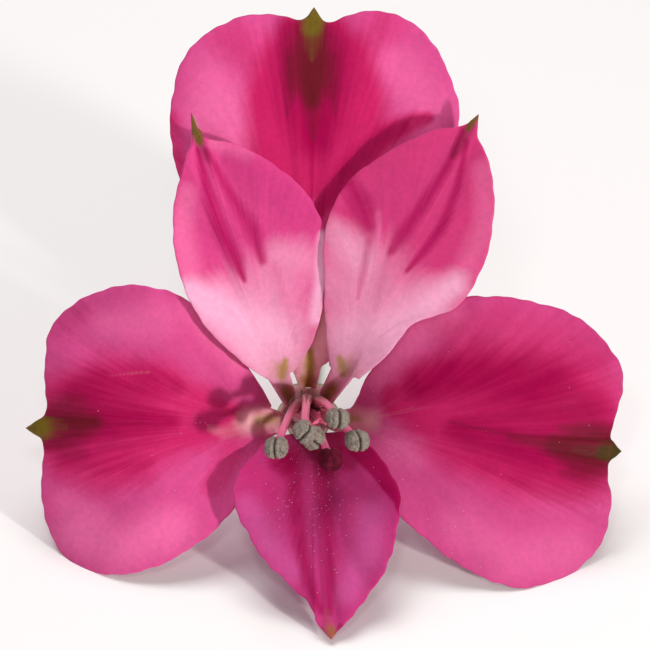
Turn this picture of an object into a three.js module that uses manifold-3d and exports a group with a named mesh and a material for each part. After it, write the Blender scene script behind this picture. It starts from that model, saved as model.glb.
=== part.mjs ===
// One alstroemeria flower on its stalk, picked and lying on a flat surface.
//
// Millimetres, +Z up. The origin is on the surface, under the middle of the flower's box. The flower looks
// forward and up, towards -Y, and rests on the lower lobes of its two side tepals. The stalk runs back along
// the surface, towards +Y.
//
// The flower is modelled in its own face frame, a nested group: X to the right, Y up the face, Z out of the
// face along the flower's axis, with the middle of the ovary's top at its origin. Each tepal is a thin blade
// on a narrow claw. Its outline is drawn in the face plane, and a funnel formula gives how far out of the
// ovary each of its points stands.
import * as THREE from "three";
import { mergeVertices } from "three/addons/utils/BufferGeometryUtils.js";
import Module from "manifold-3d";

const { clamp, degToRad, lerp, smoothstep } = THREE.MathUtils;
const wasm = await Module();
wasm.setup();

// ---- Driving dimensions ---------------------------------------------------------------------------------

const FACE_TILT_DEG = 35; // how far above the horizon the flower looks, as it lies
const FLOWER_CENTRE = new THREE.Vector3(-2.1, -9.6, 8.75); // middle of the ovary's top, in the part's frame
const FOOT_GAP = 0.45; // clear space between the ovary's top and what stands on it

const BLADE_THICKNESS = 0.7;
const TIP_SWELL = 0.5; // the green point that ends a tepal is this much thicker than the blade,
const TIP_SWELL_BEHIND = 1.6; // most so this far behind its end,
const TIP_SWELL_REACH = 1.1; // and fades over this distance
const OUTER_RING_RADIUS = 2.95; // the circles on the ovary's top where the claws of each whorl stand
const INNER_RING_RADIUS = 2.6;
const CLAW_FOOT_HALF_WIDTH = 0.95;
const CLAW_HOLLOW = 0.45; // how far a claw's middle lies outside its margins, which makes it a trough
const CLAW_HOLLOW_END = 0.35; // the share of the blade over which that trough flattens out
const VEIN_SPREAD = 0.4; // how long the veins hold the claw's direction before they fan out

const OVARY_RADIUS = 3.3;
const OVARY_LENGTH = 8;
const OVARY_BELLY = 0.09; // how much it swells below its top, as a share of the radius
const OVARY_RIBS = 6;
const OVARY_RIB_DEPTH = 0.09; // as a share of the radius
const STALK_RADIUS = 1.2;

const FILAMENT_RING_RADIUS = 1.45;
const FILAMENT_RADIUS = 0.42;
const FILAMENT_BOW = 1.6; // how far a filament's bend lies above the straight way to its anther
const ANTHER_HALF_LENGTH = 1.95;
const ANTHER_RADIUS = 1.55;
const ANTHER_END_RADIUS = 0.35;
const ANTHER_FURROW = 0.3; // how deep the furrow between the two pollen sacs is, as a share of the radius
const ANTHER_GAP = 0.35; // clear space between a filament's end and its anther
const STYLE_RADIUS = 0.45;
const STYLE_BOW = 0.6; // how far its bend lies above the straight way to the stigma
const STIGMA = new THREE.Vector3(1.45, -1.1, 12.4); // where the style branches, in the face frame
const STIGMA_BRANCH_RADIUS = 0.32;
const STIGMA_BRANCH_REACH = 1.05;

// How many rows, columns, rings or sides of faces each kind of surface has.
const CLAW_ROWS = 3;
const BLADE_ROWS = 9;
const BLADE_COLUMNS = 36;
const TIP_CROWDING = 1.35; // above 1, columns lie closer together near a tepal's tip
const STALK_SIDES = 12;
const OVARY_RINGS = 12;
const STALK_RINGS = 22;
const FILAMENT_SIDES = 6;
const FILAMENT_RINGS = 10;
const ANTHER_SIDES = 12;
const ANTHER_RINGS = 8;

const TEPAL = { color: 0xcf2d74, roughness: 0.5, metalness: 0 };
const PALE_TEPAL = { color: 0xe279a6, roughness: 0.5, metalness: 0 };
const PURPLE_TEPAL = { color: 0xb82c6f, roughness: 0.5, metalness: 0 };
const GREEN = { color: 0x5f7a34, roughness: 0.45, metalness: 0 };
const FILAMENT = { color: 0xd8557f, roughness: 0.4, metalness: 0 };
const RIPE_ANTHER = { color: 0x99948a, roughness: 0.9, metalness: 0 };
const UNRIPE_ANTHER = { color: 0x5a1a2f, roughness: 0.6, metalness: 0 };

// ---- The tepals -----------------------------------------------------------------------------------------
//
// finish:  its colour and surface
// funnel:  ring    the radius where the claw stands on the ovary
//          mouth   how far the blade stands out of the ovary's top where it has opened flat
//          flare   how fast it gets there, going outwards: small is a steep throat
//          slope   how much further it leans forward per millimetre
//          curl, turn   how strongly the blade bends back, or forward if below 0, and from which radius on
// ringDeg: where on the ovary's ring the claw stands, anticlockwise from the right
// root:    where the claw widens into the blade
// rootHalfWidth: half the claw's width there
// left, tip, right: the outline in the face plane. left goes from the root to the tip along the side that
//          is on the left when one looks from the root to the tip, and right along the other side
// cup:     how far the left and the right margin rise out of the blade's middle
// furrows: creases along the blade. at is a share of the half width, width and depth are in millimetres
// wave:    the margin's waves: their height, how many half waves each side has, and where they begin

const OUTER = { ring: OUTER_RING_RADIUS, mouth: 18.5, flare: 5.5, slope: 0 };
const INNER = { ring: INNER_RING_RADIUS, mouth: 20, flare: 4, slope: 0, curl: -0.007, turn: 26 };

const TEPALS = {
  outer_tepal_top: {
    finish: TEPAL,
    funnel: { ...OUTER, curl: 0.004, turn: 20 },
    ringDeg: 90,
    root: [-0.2, 5.4],
    rootHalfWidth: 1.8,
    left: [
      [-2.3, 6.5], [-5.9, 11], [-12.5, 20.2], [-16.8, 31], [-17.5, 39.5], [-15, 46.6], [-9, 50.4],
      [-4, 50.9], [-0.8, 50.1],
    ],
    tip: [0.8, 51.8],
    right: [
      [2.4, 6.2], [8, 11.5], [14.6, 21], [18.2, 30], [19.4, 37], [18.7, 41.5], [15.7, 47.6], [11, 51],
      [6, 51], [2.4, 49.9],
    ],
    cup: [0.2, 0.8],
    furrows: [{ at: 0, width: 3.2, depth: 0.8 }],
    wave: { height: 0.5, count: 7, phase: 0.4 },
  },
  outer_tepal_left: {
    finish: TEPAL,
    funnel: { ...OUTER, curl: 0.0245, turn: 18 },
    ringDeg: 203,
    root: [-4.7, -1.4],
    rootHalfWidth: 1.8,
    left: [
      [-4.2, -3.6], [-7.8, -10.3], [-12.5, -15.6], [-18.5, -19.4], [-24.9, -20.9], [-30.4, -19.5],
      [-33.4, -14.6], [-34.2, -9], [-34, -3.7],
    ],
    tip: [-36.2, -2.1],
    right: [
      [-4.7, 0.8], [-6.7, 4.3], [-12.6, 12.1], [-17.5, 15.3], [-23.1, 16.2], [-29.9, 13.9], [-33.2, 10],
      [-33.7, 4.5], [-33.7, -0.3],
    ],
    cup: [1.2, 1.2],
    furrows: [{ at: 0, width: 3, depth: 0.7 }],
    wave: { height: 0.6, count: 6, phase: 1.1 },
  },
  outer_tepal_right: {
    finish: TEPAL,
    funnel: { ...OUTER, curl: 0.014, turn: 20 },
    ringDeg: 337,
    root: [5.2, -1.4],
    rootHalfWidth: 1.8,
    left: [
      [6, 0.5], [7.7, 4.2], [13.8, 11.3], [19.5, 14.4], [27.1, 14.4], [34.3, 12.2], [39.4, 7.2],
      [40.4, 3.4], [38.9, -3.4],
    ],
    tip: [40.2, -5.1],
    right: [
      [4.4, -3.4], [9.9, -11.3], [16.4, -17.4], [22, -21], [27.2, -22.5], [33.2, -21], [37.6, -16.9],
      [38.8, -12], [38.6, -6.7],
    ],
    cup: [1.2, 1.2],
    furrows: [{ at: 0, width: 3, depth: 0.7 }],
    wave: { height: 0.6, count: 6, phase: 2.3 },
  },
  inner_tepal_left: {
    finish: PALE_TEPAL,
    funnel: INNER,
    ringDeg: 147,
    root: [-3.6, 4.4],
    rootHalfWidth: 1.35,
    left: [
      [-5.2, 4.2], [-7.6, 5.7], [-14, 12.2], [-16.9, 20], [-17.1, 26], [-15.9, 31.5], [-14.9, 34.4],
    ],
    tip: [-14.9, 38.3],
    right: [
      [-1.8, 5.2], [0.5, 9.4], [2.2, 15.5], [2.6, 20.6], [0.4, 27.2], [-4.4, 31.6], [-9, 34.1], [-13.2, 35.1],
    ],
    cup: [1.5, -1],
    furrows: [
      { at: -0.2, width: 0.9, depth: 0.35 },
      { at: 0.22, width: 1.1, depth: 0.35 },
    ],
    wave: { height: 0.35, count: 5, phase: 0.2 },
  },
  inner_tepal_right: {
    finish: PALE_TEPAL,
    funnel: INNER,
    ringDeg: 35,
    root: [4.2, 4.7],
    rootHalfWidth: 1.45,
    left: [
      [2.8, 5.9], [2.4, 9.5], [2.1, 16.2], [2.3, 23.5], [4.6, 28.7], [9.4, 32.7], [16.4, 36], [19.9, 36.6],
    ],
    tip: [21.8, 38],
    right: [
      [6.6, 4.2], [10.2, 6.9], [13.8, 11.2], [19.2, 13.8], [22.5, 19], [23.8, 26], [23.1, 31.9],
      [21.7, 35.4],
    ],
    cup: [1.45, 1.4],
    furrows: [
      { at: -0.2, width: 1.1, depth: 0.35 },
      { at: 0.2, width: 0.9, depth: 0.35 },
    ],
    wave: { height: 0.35, count: 5, phase: 1.5 },
  },
  inner_tepal_lower: {
    finish: PURPLE_TEPAL,
    funnel: { ring: INNER_RING_RADIUS, mouth: 18, flare: 4.5, slope: 0.35, curl: 0, turn: 0 },
    ringDeg: 270,
    root: [0.5, -3.6],
    rootHalfWidth: 1.5,
    left: [
      [2.3, -3.3], [5.9, -3.3], [9.6, -6.3], [11.8, -11], [11.3, -15.5], [10.2, -19.3], [7.6, -23.6],
      [4.6, -27],
    ],
    tip: [3, -28.9],
    right: [
      [-1.3, -3.3], [-5, -3.9], [-8.4, -7.2], [-9.5, -11], [-7.4, -16], [-4.5, -20], [0.3, -24.6],
      [1.4, -27.2],
    ],
    cup: [1, 0.3],
    furrows: [
      { at: -0.14, width: 0.8, depth: 0.4 },
      { at: 0.14, width: 0.8, depth: 0.4 },
    ],
    wave: { height: 0.4, count: 8, phase: 0.9 },
  },
};

// The stamens, in the face frame: where each filament stands on its ring, its anther's middle, and the way in
// which the furrow between the anther's two sacs runs, anticlockwise from the right.
const STAMENS = [
  { ringDeg: 150, anther: [-4, -4.5, 26.5], furrowDeg: 90, finish: RIPE_ANTHER },
  { ringDeg: 100, anther: [-0.4, -2.5, 28.5], furrowDeg: 45, finish: RIPE_ANTHER },
  { ringDeg: 210, anther: [0.7, -3.3, 23.3], furrowDeg: 135, finish: RIPE_ANTHER },
  { ringDeg: 40, anther: [3.8, -0.8, 26], furrowDeg: 85, finish: RIPE_ANTHER },
  { ringDeg: 340, anther: [6.3, -3.6, 25.5], furrowDeg: 95, finish: RIPE_ANTHER },
  { ringDeg: 280, anther: [2.9, -6.2, 21.5], furrowDeg: 90, finish: UNRIPE_ANTHER },
];

// The stalk's middle line behind the ovary, in the part's frame, back to its cut end on the surface.
const STALK_LINE = [
  [-2.1, 2.1, 2.6], [-2, 7, 1.7], [-1.4, 17, 2], [0, 29, 1.9], [1.4, 40, 1.45], [2.2, 49, 1.1],
];

// ---- Solids ---------------------------------------------------------------------------------------------

// A closed mesh as a manifold-3d solid.
function toSolid(geometry) {
  const bare = geometry.clone();
  bare.deleteAttribute("normal");
  const merged = mergeVertices(bare, 1e-4);
  return new wasm.Manifold(
    new wasm.Mesh({
      numProp: 3,
      vertProperties: merged.attributes.position.array,
      triVerts: new Uint32Array(merged.index.array),
    }),
  );
}

function toGeometry(solid) {
  const mesh = solid.getMesh();
  const geometry = new THREE.BufferGeometry();
  geometry.setAttribute("position", new THREE.BufferAttribute(mesh.vertProperties, 3));
  geometry.setIndex(new THREE.BufferAttribute(mesh.triVerts, 1));
  geometry.computeVertexNormals();
  return geometry;
}

function meshOf(points, triangles) {
  const geometry = new THREE.BufferGeometry().setFromPoints(points);
  geometry.setIndex(triangles);
  geometry.computeVertexNormals();
  return geometry;
}

// Two triangles for each face of a grid of points. The grid's points are numbered from first, row by row.
function gridFaces(rows, columns, first, facesFront) {
  const triangles = [];
  const across = columns + 1;
  for (let row = 0; row < rows; row++) {
    for (let column = 0; column < columns; column++) {
      const a = first + row * across + column;
      const b = a + 1;
      const c = b + across;
      const d = a + across;
      if (facesFront) triangles.push(a, b, c, a, c, d);
      else triangles.push(a, c, b, a, d, c);
    }
  }
  return triangles;
}

// A closed plate around a surface. point(row, column) gives the surface, with row from 0 to 1 and column from
// -1 to 1, and the plate's two faces lie half its thickness to each side of it.
function plate(point, thickness, rows, columns) {
  const front = [];
  const back = [];
  const small = 1e-3;
  for (let i = 0; i <= rows; i++) {
    for (let j = 0; j <= columns; j++) {
      const row = i / rows;
      const column = (2 * j) / columns - 1;
      const rowStep = row < 0.5 ? small : -small;
      const columnStep = column < 0 ? small : -small;
      const middle = point(row, column);
      const alongRow = point(row + rowStep, column).sub(middle).divideScalar(rowStep);
      const alongColumn = point(row, column + columnStep).sub(middle).divideScalar(columnStep);
      const normal = alongColumn.cross(alongRow).normalize();
      const half = thickness(middle) / 2;
      front.push(middle.clone().addScaledVector(normal, half));
      back.push(middle.clone().addScaledVector(normal, -half));
    }
  }
  const across = columns + 1;
  const count = front.length;
  const triangles = [...gridFaces(rows, columns, 0, true), ...gridFaces(rows, columns, count, false)];
  const rim = [];
  for (let j = 0; j < columns; j++) rim.push(j);
  for (let i = 0; i < rows; i++) rim.push(i * across + columns);
  for (let j = columns; j > 0; j--) rim.push(rows * across + j);
  for (let i = rows; i > 0; i--) rim.push(i * across);
  rim.forEach((a, i) => {
    const b = rim[(i + 1) % rim.length];
    triangles.push(a, a + count, b + count, a, b + count, b);
  });
  return meshOf([...front, ...back], triangles);
}

// Shares from 0 to 1 in even steps.
const evenShares = (count) => Array.from({ length: count + 1 }, (_, i) => i / count);

// A closed tube along a curve, with a ring square to it at each share of its length. radius(share, angle)
// gives the wall. Each ring turns as little as it can from the one before.
function tube(curve, radius, shares, sides) {
  const points = [];
  let across = new THREE.Vector3(1, 0, 0);
  for (const share of shares) {
    const middle = curve.getPointAt(share);
    const tangent = curve.getTangentAt(share);
    across = across.clone().addScaledVector(tangent, -across.dot(tangent)).normalize();
    const up = tangent.clone().cross(across);
    for (let side = 0; side < sides; side++) {
      const angle = (2 * Math.PI * side) / sides;
      const wall = radius(share, angle);
      const point = middle.clone().addScaledVector(across, wall * Math.cos(angle));
      points.push(point.addScaledVector(up, wall * Math.sin(angle)));
    }
  }
  const triangles = [];
  const last = (shares.length - 1) * sides;
  for (let ring = 0; ring < last; ring += sides) {
    for (let side = 0; side < sides; side++) {
      const a = ring + side;
      const b = ring + ((side + 1) % sides);
      triangles.push(a, b, b + sides, a, b + sides, a + sides);
    }
  }
  const firstMiddle = points.push(curve.getPointAt(0)) - 1;
  const lastMiddle = points.push(curve.getPointAt(1)) - 1;
  for (let side = 0; side < sides; side++) {
    const next = (side + 1) % sides;
    triangles.push(firstMiddle, next, side);
    triangles.push(lastMiddle, last + side, last + next);
  }
  return meshOf(points, triangles);
}

// ---- A tepal --------------------------------------------------------------------------------------------

// How far a tepal stands out of the ovary's top, at this radius from the flower's axis.
function funnelDepth({ ring, mouth, flare, slope, curl, turn }, radius) {
  const out = Math.max(0, radius - ring);
  const past = Math.max(0, radius - turn);
  return FOOT_GAP + mouth * (1 - Math.exp(-out / flare)) + slope * out - curl * past * past;
}

// The cup, furrows and waves that the blade adds to its funnel. forward is the share of the way to the tip,
// side the distance to the right of the line to the tip, and open 0 at the claw and 1 at the margin.
function relief({ cup, furrows, wave }, halfWidth, forward, side, open, column) {
  const share = side / halfWidth;
  const rise = Math.sin(Math.PI * clamp(forward, 0, 0.95)) ** 0.8;
  let height = cup[side < 0 ? 0 : 1] * share * share * smoothstep(open, 0.2, 1);
  for (const furrow of furrows) {
    const away = (side - furrow.at * halfWidth * rise) / furrow.width;
    height -= furrow.depth * rise * Math.exp(-away * away);
  }
  const clearOfTip = Math.min(1, 3 * Math.abs(column));
  return height + wave.height * open ** 3 * clearOfTip * Math.sin(wave.count * Math.PI * column + wave.phase);
}

// A tepal's middle surface as point(row, column): row 0 is the claw's foot and 1 the margin, and column runs
// from -1 along the left side over 0 at the tip to 1 along the right side.
function tepalSurface(tepal) {
  const flat = ([x, y]) => new THREE.Vector3(x, y, 0);
  const toTheRight = (direction) => new THREE.Vector3(direction.y, -direction.x, 0);
  const root = flat(tepal.root);
  const tip = flat(tepal.tip);
  const length = tip.distanceTo(root);
  const along = tip.clone().sub(root).normalize();
  const across = toTheRight(along);
  const ringAngle = degToRad(tepal.ringDeg);
  const outwards = flat([Math.cos(ringAngle), Math.sin(ringAngle)]);
  const foot = outwards.clone().multiplyScalar(tepal.funnel.ring);
  const footAcross = toTheRight(outwards);

  const outline = [...tepal.left.map(flat), tip, ...tepal.right.map(flat).reverse()];
  const margin = new THREE.CatmullRomCurve3(outline, false, "centripetal");
  const halfWidth = Math.max(...outline.map((p) => Math.abs(p.clone().sub(root).dot(across))));
  const marginPoint = (column) => {
    const eased = Math.sign(column) * Math.abs(column) ** TIP_CROWDING;
    const spans = eased < 0 ? tepal.left.length : tepal.right.length;
    return margin.getPoint((tepal.left.length + spans * eased) / (outline.length - 1));
  };

  const clawShare = CLAW_ROWS / (CLAW_ROWS + BLADE_ROWS);
  return (row, column) => {
    const clawTop = root.clone().addScaledVector(across, tepal.rootHalfWidth * column);
    const open = clamp((row - clawShare) / (1 - clawShare), 0, 1);
    let at;
    if (row < clawShare) {
      at = foot.clone().addScaledVector(footAcross, CLAW_FOOT_HALF_WIDTH * column);
      at.lerp(clawTop, row / clawShare);
    } else {
      // Each vein is a quadratic curve that leaves along the line to the tip and ends on the margin.
      const end = marginPoint(column);
      const bend = clawTop.clone().addScaledVector(along, VEIN_SPREAD * end.distanceTo(clawTop));
      at = new THREE.QuadraticBezierCurve3(clawTop, bend, end).getPoint(open);
    }
    const local = at.clone().sub(root);
    const forward = local.dot(along) / length;
    at.z = funnelDepth(tepal.funnel, Math.hypot(at.x, at.y));
    at.z += relief(tepal, halfWidth, forward, local.dot(across), open, column);
    const hollow = CLAW_HOLLOW * (1 - column * column) * (1 - smoothstep(open, 0, CLAW_HOLLOW_END));
    return at.addScaledVector(outwards, hollow);
  };
}

function tepalGeometry(tepal) {
  const [tipX, tipY] = tepal.tip;
  const thickness = (point) => {
    const away = (Math.hypot(point.x - tipX, point.y - tipY) - TIP_SWELL_BEHIND) / TIP_SWELL_REACH;
    return BLADE_THICKNESS + TIP_SWELL * Math.exp(-away * away);
  };
  return plate(tepalSurface(tepal), thickness, CLAW_ROWS + BLADE_ROWS, BLADE_COLUMNS);
}

// ---- The ovary, stamens and style -----------------------------------------------------------------------

// The ovary swells below its flat top, draws in to the stalk and has soft ribs. The stalk has grown in one
// piece with it. faceAxis is the flower's axis in the part's frame.
function ovaryAndStalkGeometry(faceAxis) {
  const ovaryLine = [0, 0.3, 0.6, 1].map((share) =>
    FLOWER_CENTRE.clone().addScaledVector(faceAxis, -OVARY_LENGTH * share),
  );
  const stalkLine = STALK_LINE.map((point) => new THREE.Vector3(...point));
  const curve = new THREE.CatmullRomCurve3([...ovaryLine, ...stalkLine], false, "centripetal");
  const ovaryShare = OVARY_LENGTH / curve.getLength();
  const radius = (share, angle) => {
    const down = Math.min(1, share / ovaryShare);
    const belly = OVARY_RADIUS * (1 + OVARY_BELLY * Math.sin(Math.PI * Math.min(1, 1.6 * down)));
    const full = 1 - smoothstep(down, 0.35, 1);
    return lerp(STALK_RADIUS, belly, full) * (1 + OVARY_RIB_DEPTH * full * Math.cos(OVARY_RIBS * angle));
  };
  const shares = [
    ...evenShares(OVARY_RINGS).map((share) => share * ovaryShare),
    ...evenShares(STALK_RINGS).slice(1).map((share) => lerp(ovaryShare, 1, share)),
  ];
  return tube(curve, radius, shares, STALK_SIDES);
}

// A filament leaves the ovary's top, rises a little up the face and then leans out to its anther. The anther
// sits on its end and points the same way.
function stamenLine({ ringDeg, anther }) {
  const angle = degToRad(ringDeg);
  const middle = new THREE.Vector3(...anther);
  const foot = new THREE.Vector3(Math.cos(angle), Math.sin(angle), 0).multiplyScalar(FILAMENT_RING_RADIUS);
  foot.z = FOOT_GAP;
  const bend = foot.clone().lerp(middle, 0.3);
  bend.y += FILAMENT_BOW;
  bend.z = lerp(foot.z, middle.z, 0.55);
  const aim = middle.clone().sub(bend).normalize();
  const end = middle.clone().addScaledVector(aim, -(ANTHER_HALF_LENGTH + ANTHER_GAP));
  return { curve: new THREE.QuadraticBezierCurve3(foot, bend, end), middle, aim };
}

function filamentGeometry(curve) {
  const radius = (share) => FILAMENT_RADIUS * lerp(1.1, 0.8, share);
  return tube(curve, radius, evenShares(FILAMENT_RINGS), FILAMENT_SIDES);
}

// An anther is a blunt grain of two pollen sacs, with a furrow down each side where they meet.
function antherGeometry() {
  const half = new THREE.Vector3(0, 0, ANTHER_HALF_LENGTH);
  const curve = new THREE.LineCurve3(half.clone().negate(), half);
  const radius = (share, angle) => {
    const round = ANTHER_RADIUS * Math.sqrt(1 - Math.abs(2 * share - 1) ** 3);
    const furrow = 1 - ANTHER_FURROW * Math.cos(angle) ** 6;
    return Math.max(ANTHER_END_RADIUS, round) * furrow;
  };
  const shares = evenShares(ANTHER_RINGS).map((share) => (1 - Math.cos(Math.PI * share)) / 2);
  return tube(curve, radius, shares, ANTHER_SIDES);
}

// The style ends in three short branches, the stigma.
function styleGeometry() {
  const foot = new THREE.Vector3(0, 0, FOOT_GAP);
  const bend = foot.clone().lerp(STIGMA, 0.5);
  bend.y += STYLE_BOW;
  const stem = new THREE.QuadraticBezierCurve3(foot, bend, STIGMA);
  let solid = toSolid(tube(stem, () => STYLE_RADIUS, evenShares(FILAMENT_RINGS), FILAMENT_SIDES));
  for (const angleDeg of [90, 210, 330]) {
    const angle = degToRad(angleDeg);
    const out = new THREE.Vector3(Math.cos(angle), Math.sin(angle), 0);
    const from = STIGMA.clone().setZ(STIGMA.z - 0.6);
    const bow = STIGMA.clone().addScaledVector(out, STIGMA_BRANCH_REACH / 4).setZ(STIGMA.z + 0.6);
    const end = STIGMA.clone().addScaledVector(out, STIGMA_BRANCH_REACH).setZ(STIGMA.z + 1.2);
    const line = new THREE.QuadraticBezierCurve3(from, bow, end);
    solid = solid.add(toSolid(tube(line, () => STIGMA_BRANCH_RADIUS, evenShares(4), FILAMENT_SIDES)));
  }
  return toGeometry(solid);
}

// ---- Assembly -------------------------------------------------------------------------------------------

// What would lie below the surface is cut away, so each piece that rests on it has a small flat spot there.
// toPart leads from the geometry's own frame to the part's.
function restOnSurface(geometry, toPart) {
  const below = new THREE.BoxGeometry(200, 200, 20).translate(0, 0, -10);
  below.deleteAttribute("uv");
  return toGeometry(toSolid(geometry).subtract(toSolid(below.applyMatrix4(toPart.clone().invert()))));
}

function named(name, geometry, finish) {
  const mesh = new THREE.Mesh(geometry, new THREE.MeshStandardMaterial(finish));
  mesh.name = name;
  return mesh;
}

const part = new THREE.Group();
const flower = new THREE.Group(); // the face frame
flower.position.copy(FLOWER_CENTRE);
flower.rotation.x = degToRad(90 - FACE_TILT_DEG);
part.add(flower);
flower.updateMatrixWorld(true);

for (const [name, tepal] of Object.entries(TEPALS)) {
  flower.add(named(name, restOnSurface(tepalGeometry(tepal), flower.matrixWorld), tepal.finish));
}

STAMENS.forEach((stamen, i) => {
  const { curve, middle, aim } = stamenLine(stamen);
  flower.add(named(`filament_${i + 1}`, filamentGeometry(curve), FILAMENT));
  const anther = named(`anther_${i + 1}`, antherGeometry(), stamen.finish);
  anther.position.copy(middle);
  anther.quaternion.setFromUnitVectors(new THREE.Vector3(0, 0, 1), aim);
  anther.rotateZ(degToRad(stamen.furrowDeg));
  flower.add(anther);
});

flower.add(named("style", styleGeometry(), FILAMENT));

const faceAxis = new THREE.Vector3(0, 0, 1).transformDirection(flower.matrixWorld);
const ovaryAndStalk = restOnSurface(ovaryAndStalkGeometry(faceAxis), part.matrixWorld);
part.add(named("ovary_and_stalk", ovaryAndStalk, GREEN));

export default part;
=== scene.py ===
"""One alstroemeria flower on its short stalk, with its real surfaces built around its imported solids.

Sizes are in millimetres and meshes in metres. The flower is drawn in its face frame: u runs to the right, v
up the face and a out of it along the flower's axis, all from the middle of the ovary's top. Each sub-assembly
is a class that holds its sizes and builds its own pieces; each finish is a class that makes one material.
"""

import logging
import math
from dataclasses import dataclass, field, replace
from enum import Enum

import bpy
import numpy as np
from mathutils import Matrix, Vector


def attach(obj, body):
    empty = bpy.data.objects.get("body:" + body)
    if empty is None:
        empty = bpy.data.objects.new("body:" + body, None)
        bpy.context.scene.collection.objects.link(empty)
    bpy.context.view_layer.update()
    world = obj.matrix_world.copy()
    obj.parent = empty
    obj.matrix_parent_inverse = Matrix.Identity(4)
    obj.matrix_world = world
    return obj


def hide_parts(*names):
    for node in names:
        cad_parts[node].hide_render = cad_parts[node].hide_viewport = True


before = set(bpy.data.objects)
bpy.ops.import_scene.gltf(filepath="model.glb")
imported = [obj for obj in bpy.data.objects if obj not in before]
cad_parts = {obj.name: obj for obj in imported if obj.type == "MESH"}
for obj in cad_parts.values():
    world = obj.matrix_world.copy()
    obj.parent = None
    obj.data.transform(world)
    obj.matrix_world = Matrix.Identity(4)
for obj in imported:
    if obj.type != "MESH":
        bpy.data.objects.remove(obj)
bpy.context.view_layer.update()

BODY = "root"
UV_LAYER = "skin"
MM = 0.001

Array = np.ndarray
Point = tuple[float, float]
Place = tuple[float, float, float]

RIPPLE_GAIN = 1.4  # brings the mean of a few sines to about -1 to 1
LUMP_GAIN = 2.2  # the same for the mean of LUMP_WAVES sines
LUMP_WAVES = 16
LUMP_PITCHES = (0.7, 1.4)  # the least and the greatest of their pitches, as shares of the mean one

log = logging.getLogger("alstroemeria")


# ---- Arrays and meshes ----------------------------------------------------------------------------------


def smoothstep(value: Array, low: float, high: float) -> Array:
    """A smooth rise from 0 at low to 1 at high: 3x^2 - 2x^3 of the share x of the way."""
    share = np.clip((value - low) / (high - low), 0, 1)
    return share * share * (3 - 2 * share)


def unit(vectors: Array) -> Array:
    """Each vector at length 1."""
    return vectors / np.maximum(np.linalg.norm(vectors, axis=-1, keepdims=True), 1e-12)


def ripples(along: Array, lengths: tuple[float, ...], seed: int) -> Array:
    """An uneven wave: the mean of sines of several wave lengths, each with a seeded phase.

    Args:
        along: where on the wave each value lies, in the unit of the lengths.
        lengths: the wave lengths.
        seed: of the phases.

    Returns:
        Values from about -1 to 1, in the shape of along.
    """
    phases = np.random.default_rng(seed).uniform(0, 2 * math.pi, len(lengths))
    waves = np.sin(2 * math.pi * along[..., None] / np.array(lengths) + phases)
    return RIPPLE_GAIN * np.mean(waves, axis=-1)


def lumps(points: Array, size: float, seed: int) -> Array:
    """Soft lumps all over a surface: the mean of many plane waves in seeded directions.

    Args:
        points: any array of points, with their coordinates last.
        size: how far apart the lumps lie, in the unit of the points.
        seed: of the directions and phases.

    Returns:
        Values from about -1 to 1, one for each point.
    """
    draw = np.random.default_rng(seed)
    waves = unit(draw.normal(size=(LUMP_WAVES, points.shape[-1]))) * (2 * math.pi / size)
    waves *= draw.uniform(*LUMP_PITCHES, (LUMP_WAVES, 1))
    phases = draw.uniform(0, 2 * math.pi, LUMP_WAVES)
    return LUMP_GAIN * np.mean(np.sin(points @ waves.T + phases), axis=-1)


def through(knots: Array, at: Array) -> Array:
    """Points on the centripetal Catmull-Rom curve through some knots.

    Each span is the cubic whose end slopes weigh the chords around it by the square roots of their lengths.
    Past its ends the row of knots goes on as if mirrored.

    Args:
        knots: the knots, n rows of coordinates.
        at: places on the curve, 0 at the first knot and n - 1 at the last.

    Returns:
        One point for each place.
    """
    line = np.vstack([2 * knots[:1] - knots[1:2], knots, 2 * knots[-1:] - knots[-2:-1]])
    root = np.sqrt(np.linalg.norm(np.diff(line, axis=0), axis=1))[:, None]
    span = np.clip(np.floor(at).astype(int), 0, len(knots) - 2)
    share = (at - span)[:, None]
    before, start, end, after = (line[span + i] for i in range(4))
    first, middle, last = (root[span + i] for i in range(3))
    chord = end - start
    leaving = chord + middle * ((start - before) / first - (end - before) / (first + middle))
    arriving = chord + middle * ((after - end) / last - (after - start) / (middle + last))
    bend = (3 * chord - 2 * leaving - arriving) * share**2
    return start + leaving * share + bend + (leaving + arriving - 2 * chord) * share**3


def even_points(curve: Array, shares: Array) -> Array:
    """Points at shares of a dense line's length, found by its running length."""
    run = np.concatenate([[0], np.cumsum(np.linalg.norm(np.diff(curve, axis=0), axis=1))])
    return np.stack([np.interp(shares * run[-1], run, axis) for axis in curve.T], axis=1)


def bowed(start: Array, bend: Array, end: Array, shares: Array) -> Array:
    """Points of a line that bows towards a bend.

    It is a quadratic curve, written as the cubic one whose inner corners lie two thirds of the way from its
    ends to the bend: each corner is weighed by its Bernstein polynomial.

    Args:
        start: where the line starts.
        bend: the corner towards which it bows.
        end: where it ends.
        shares: places on it, 0 at the start and 1 at the end.

    Returns:
        One point for each place.
    """
    t = shares[:, None]
    weights = np.hstack([(1 - t) ** 3, 3 * t * (1 - t) ** 2, 3 * t**2 * (1 - t), t**3])
    return weights @ np.array([start, (start + 2 * bend) / 3, (end + 2 * bend) / 3, end])


def grid_quads(rows: int, columns: int, first: int = 0) -> Array:
    """The four-cornered faces of a grid of vertices, numbered row by row from first."""
    corner = first + np.arange(rows - 1)[:, None] * columns + np.arange(columns - 1)
    return np.stack([corner, corner + 1, corner + columns + 1, corner + columns], axis=-1).reshape(-1, 4)


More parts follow.
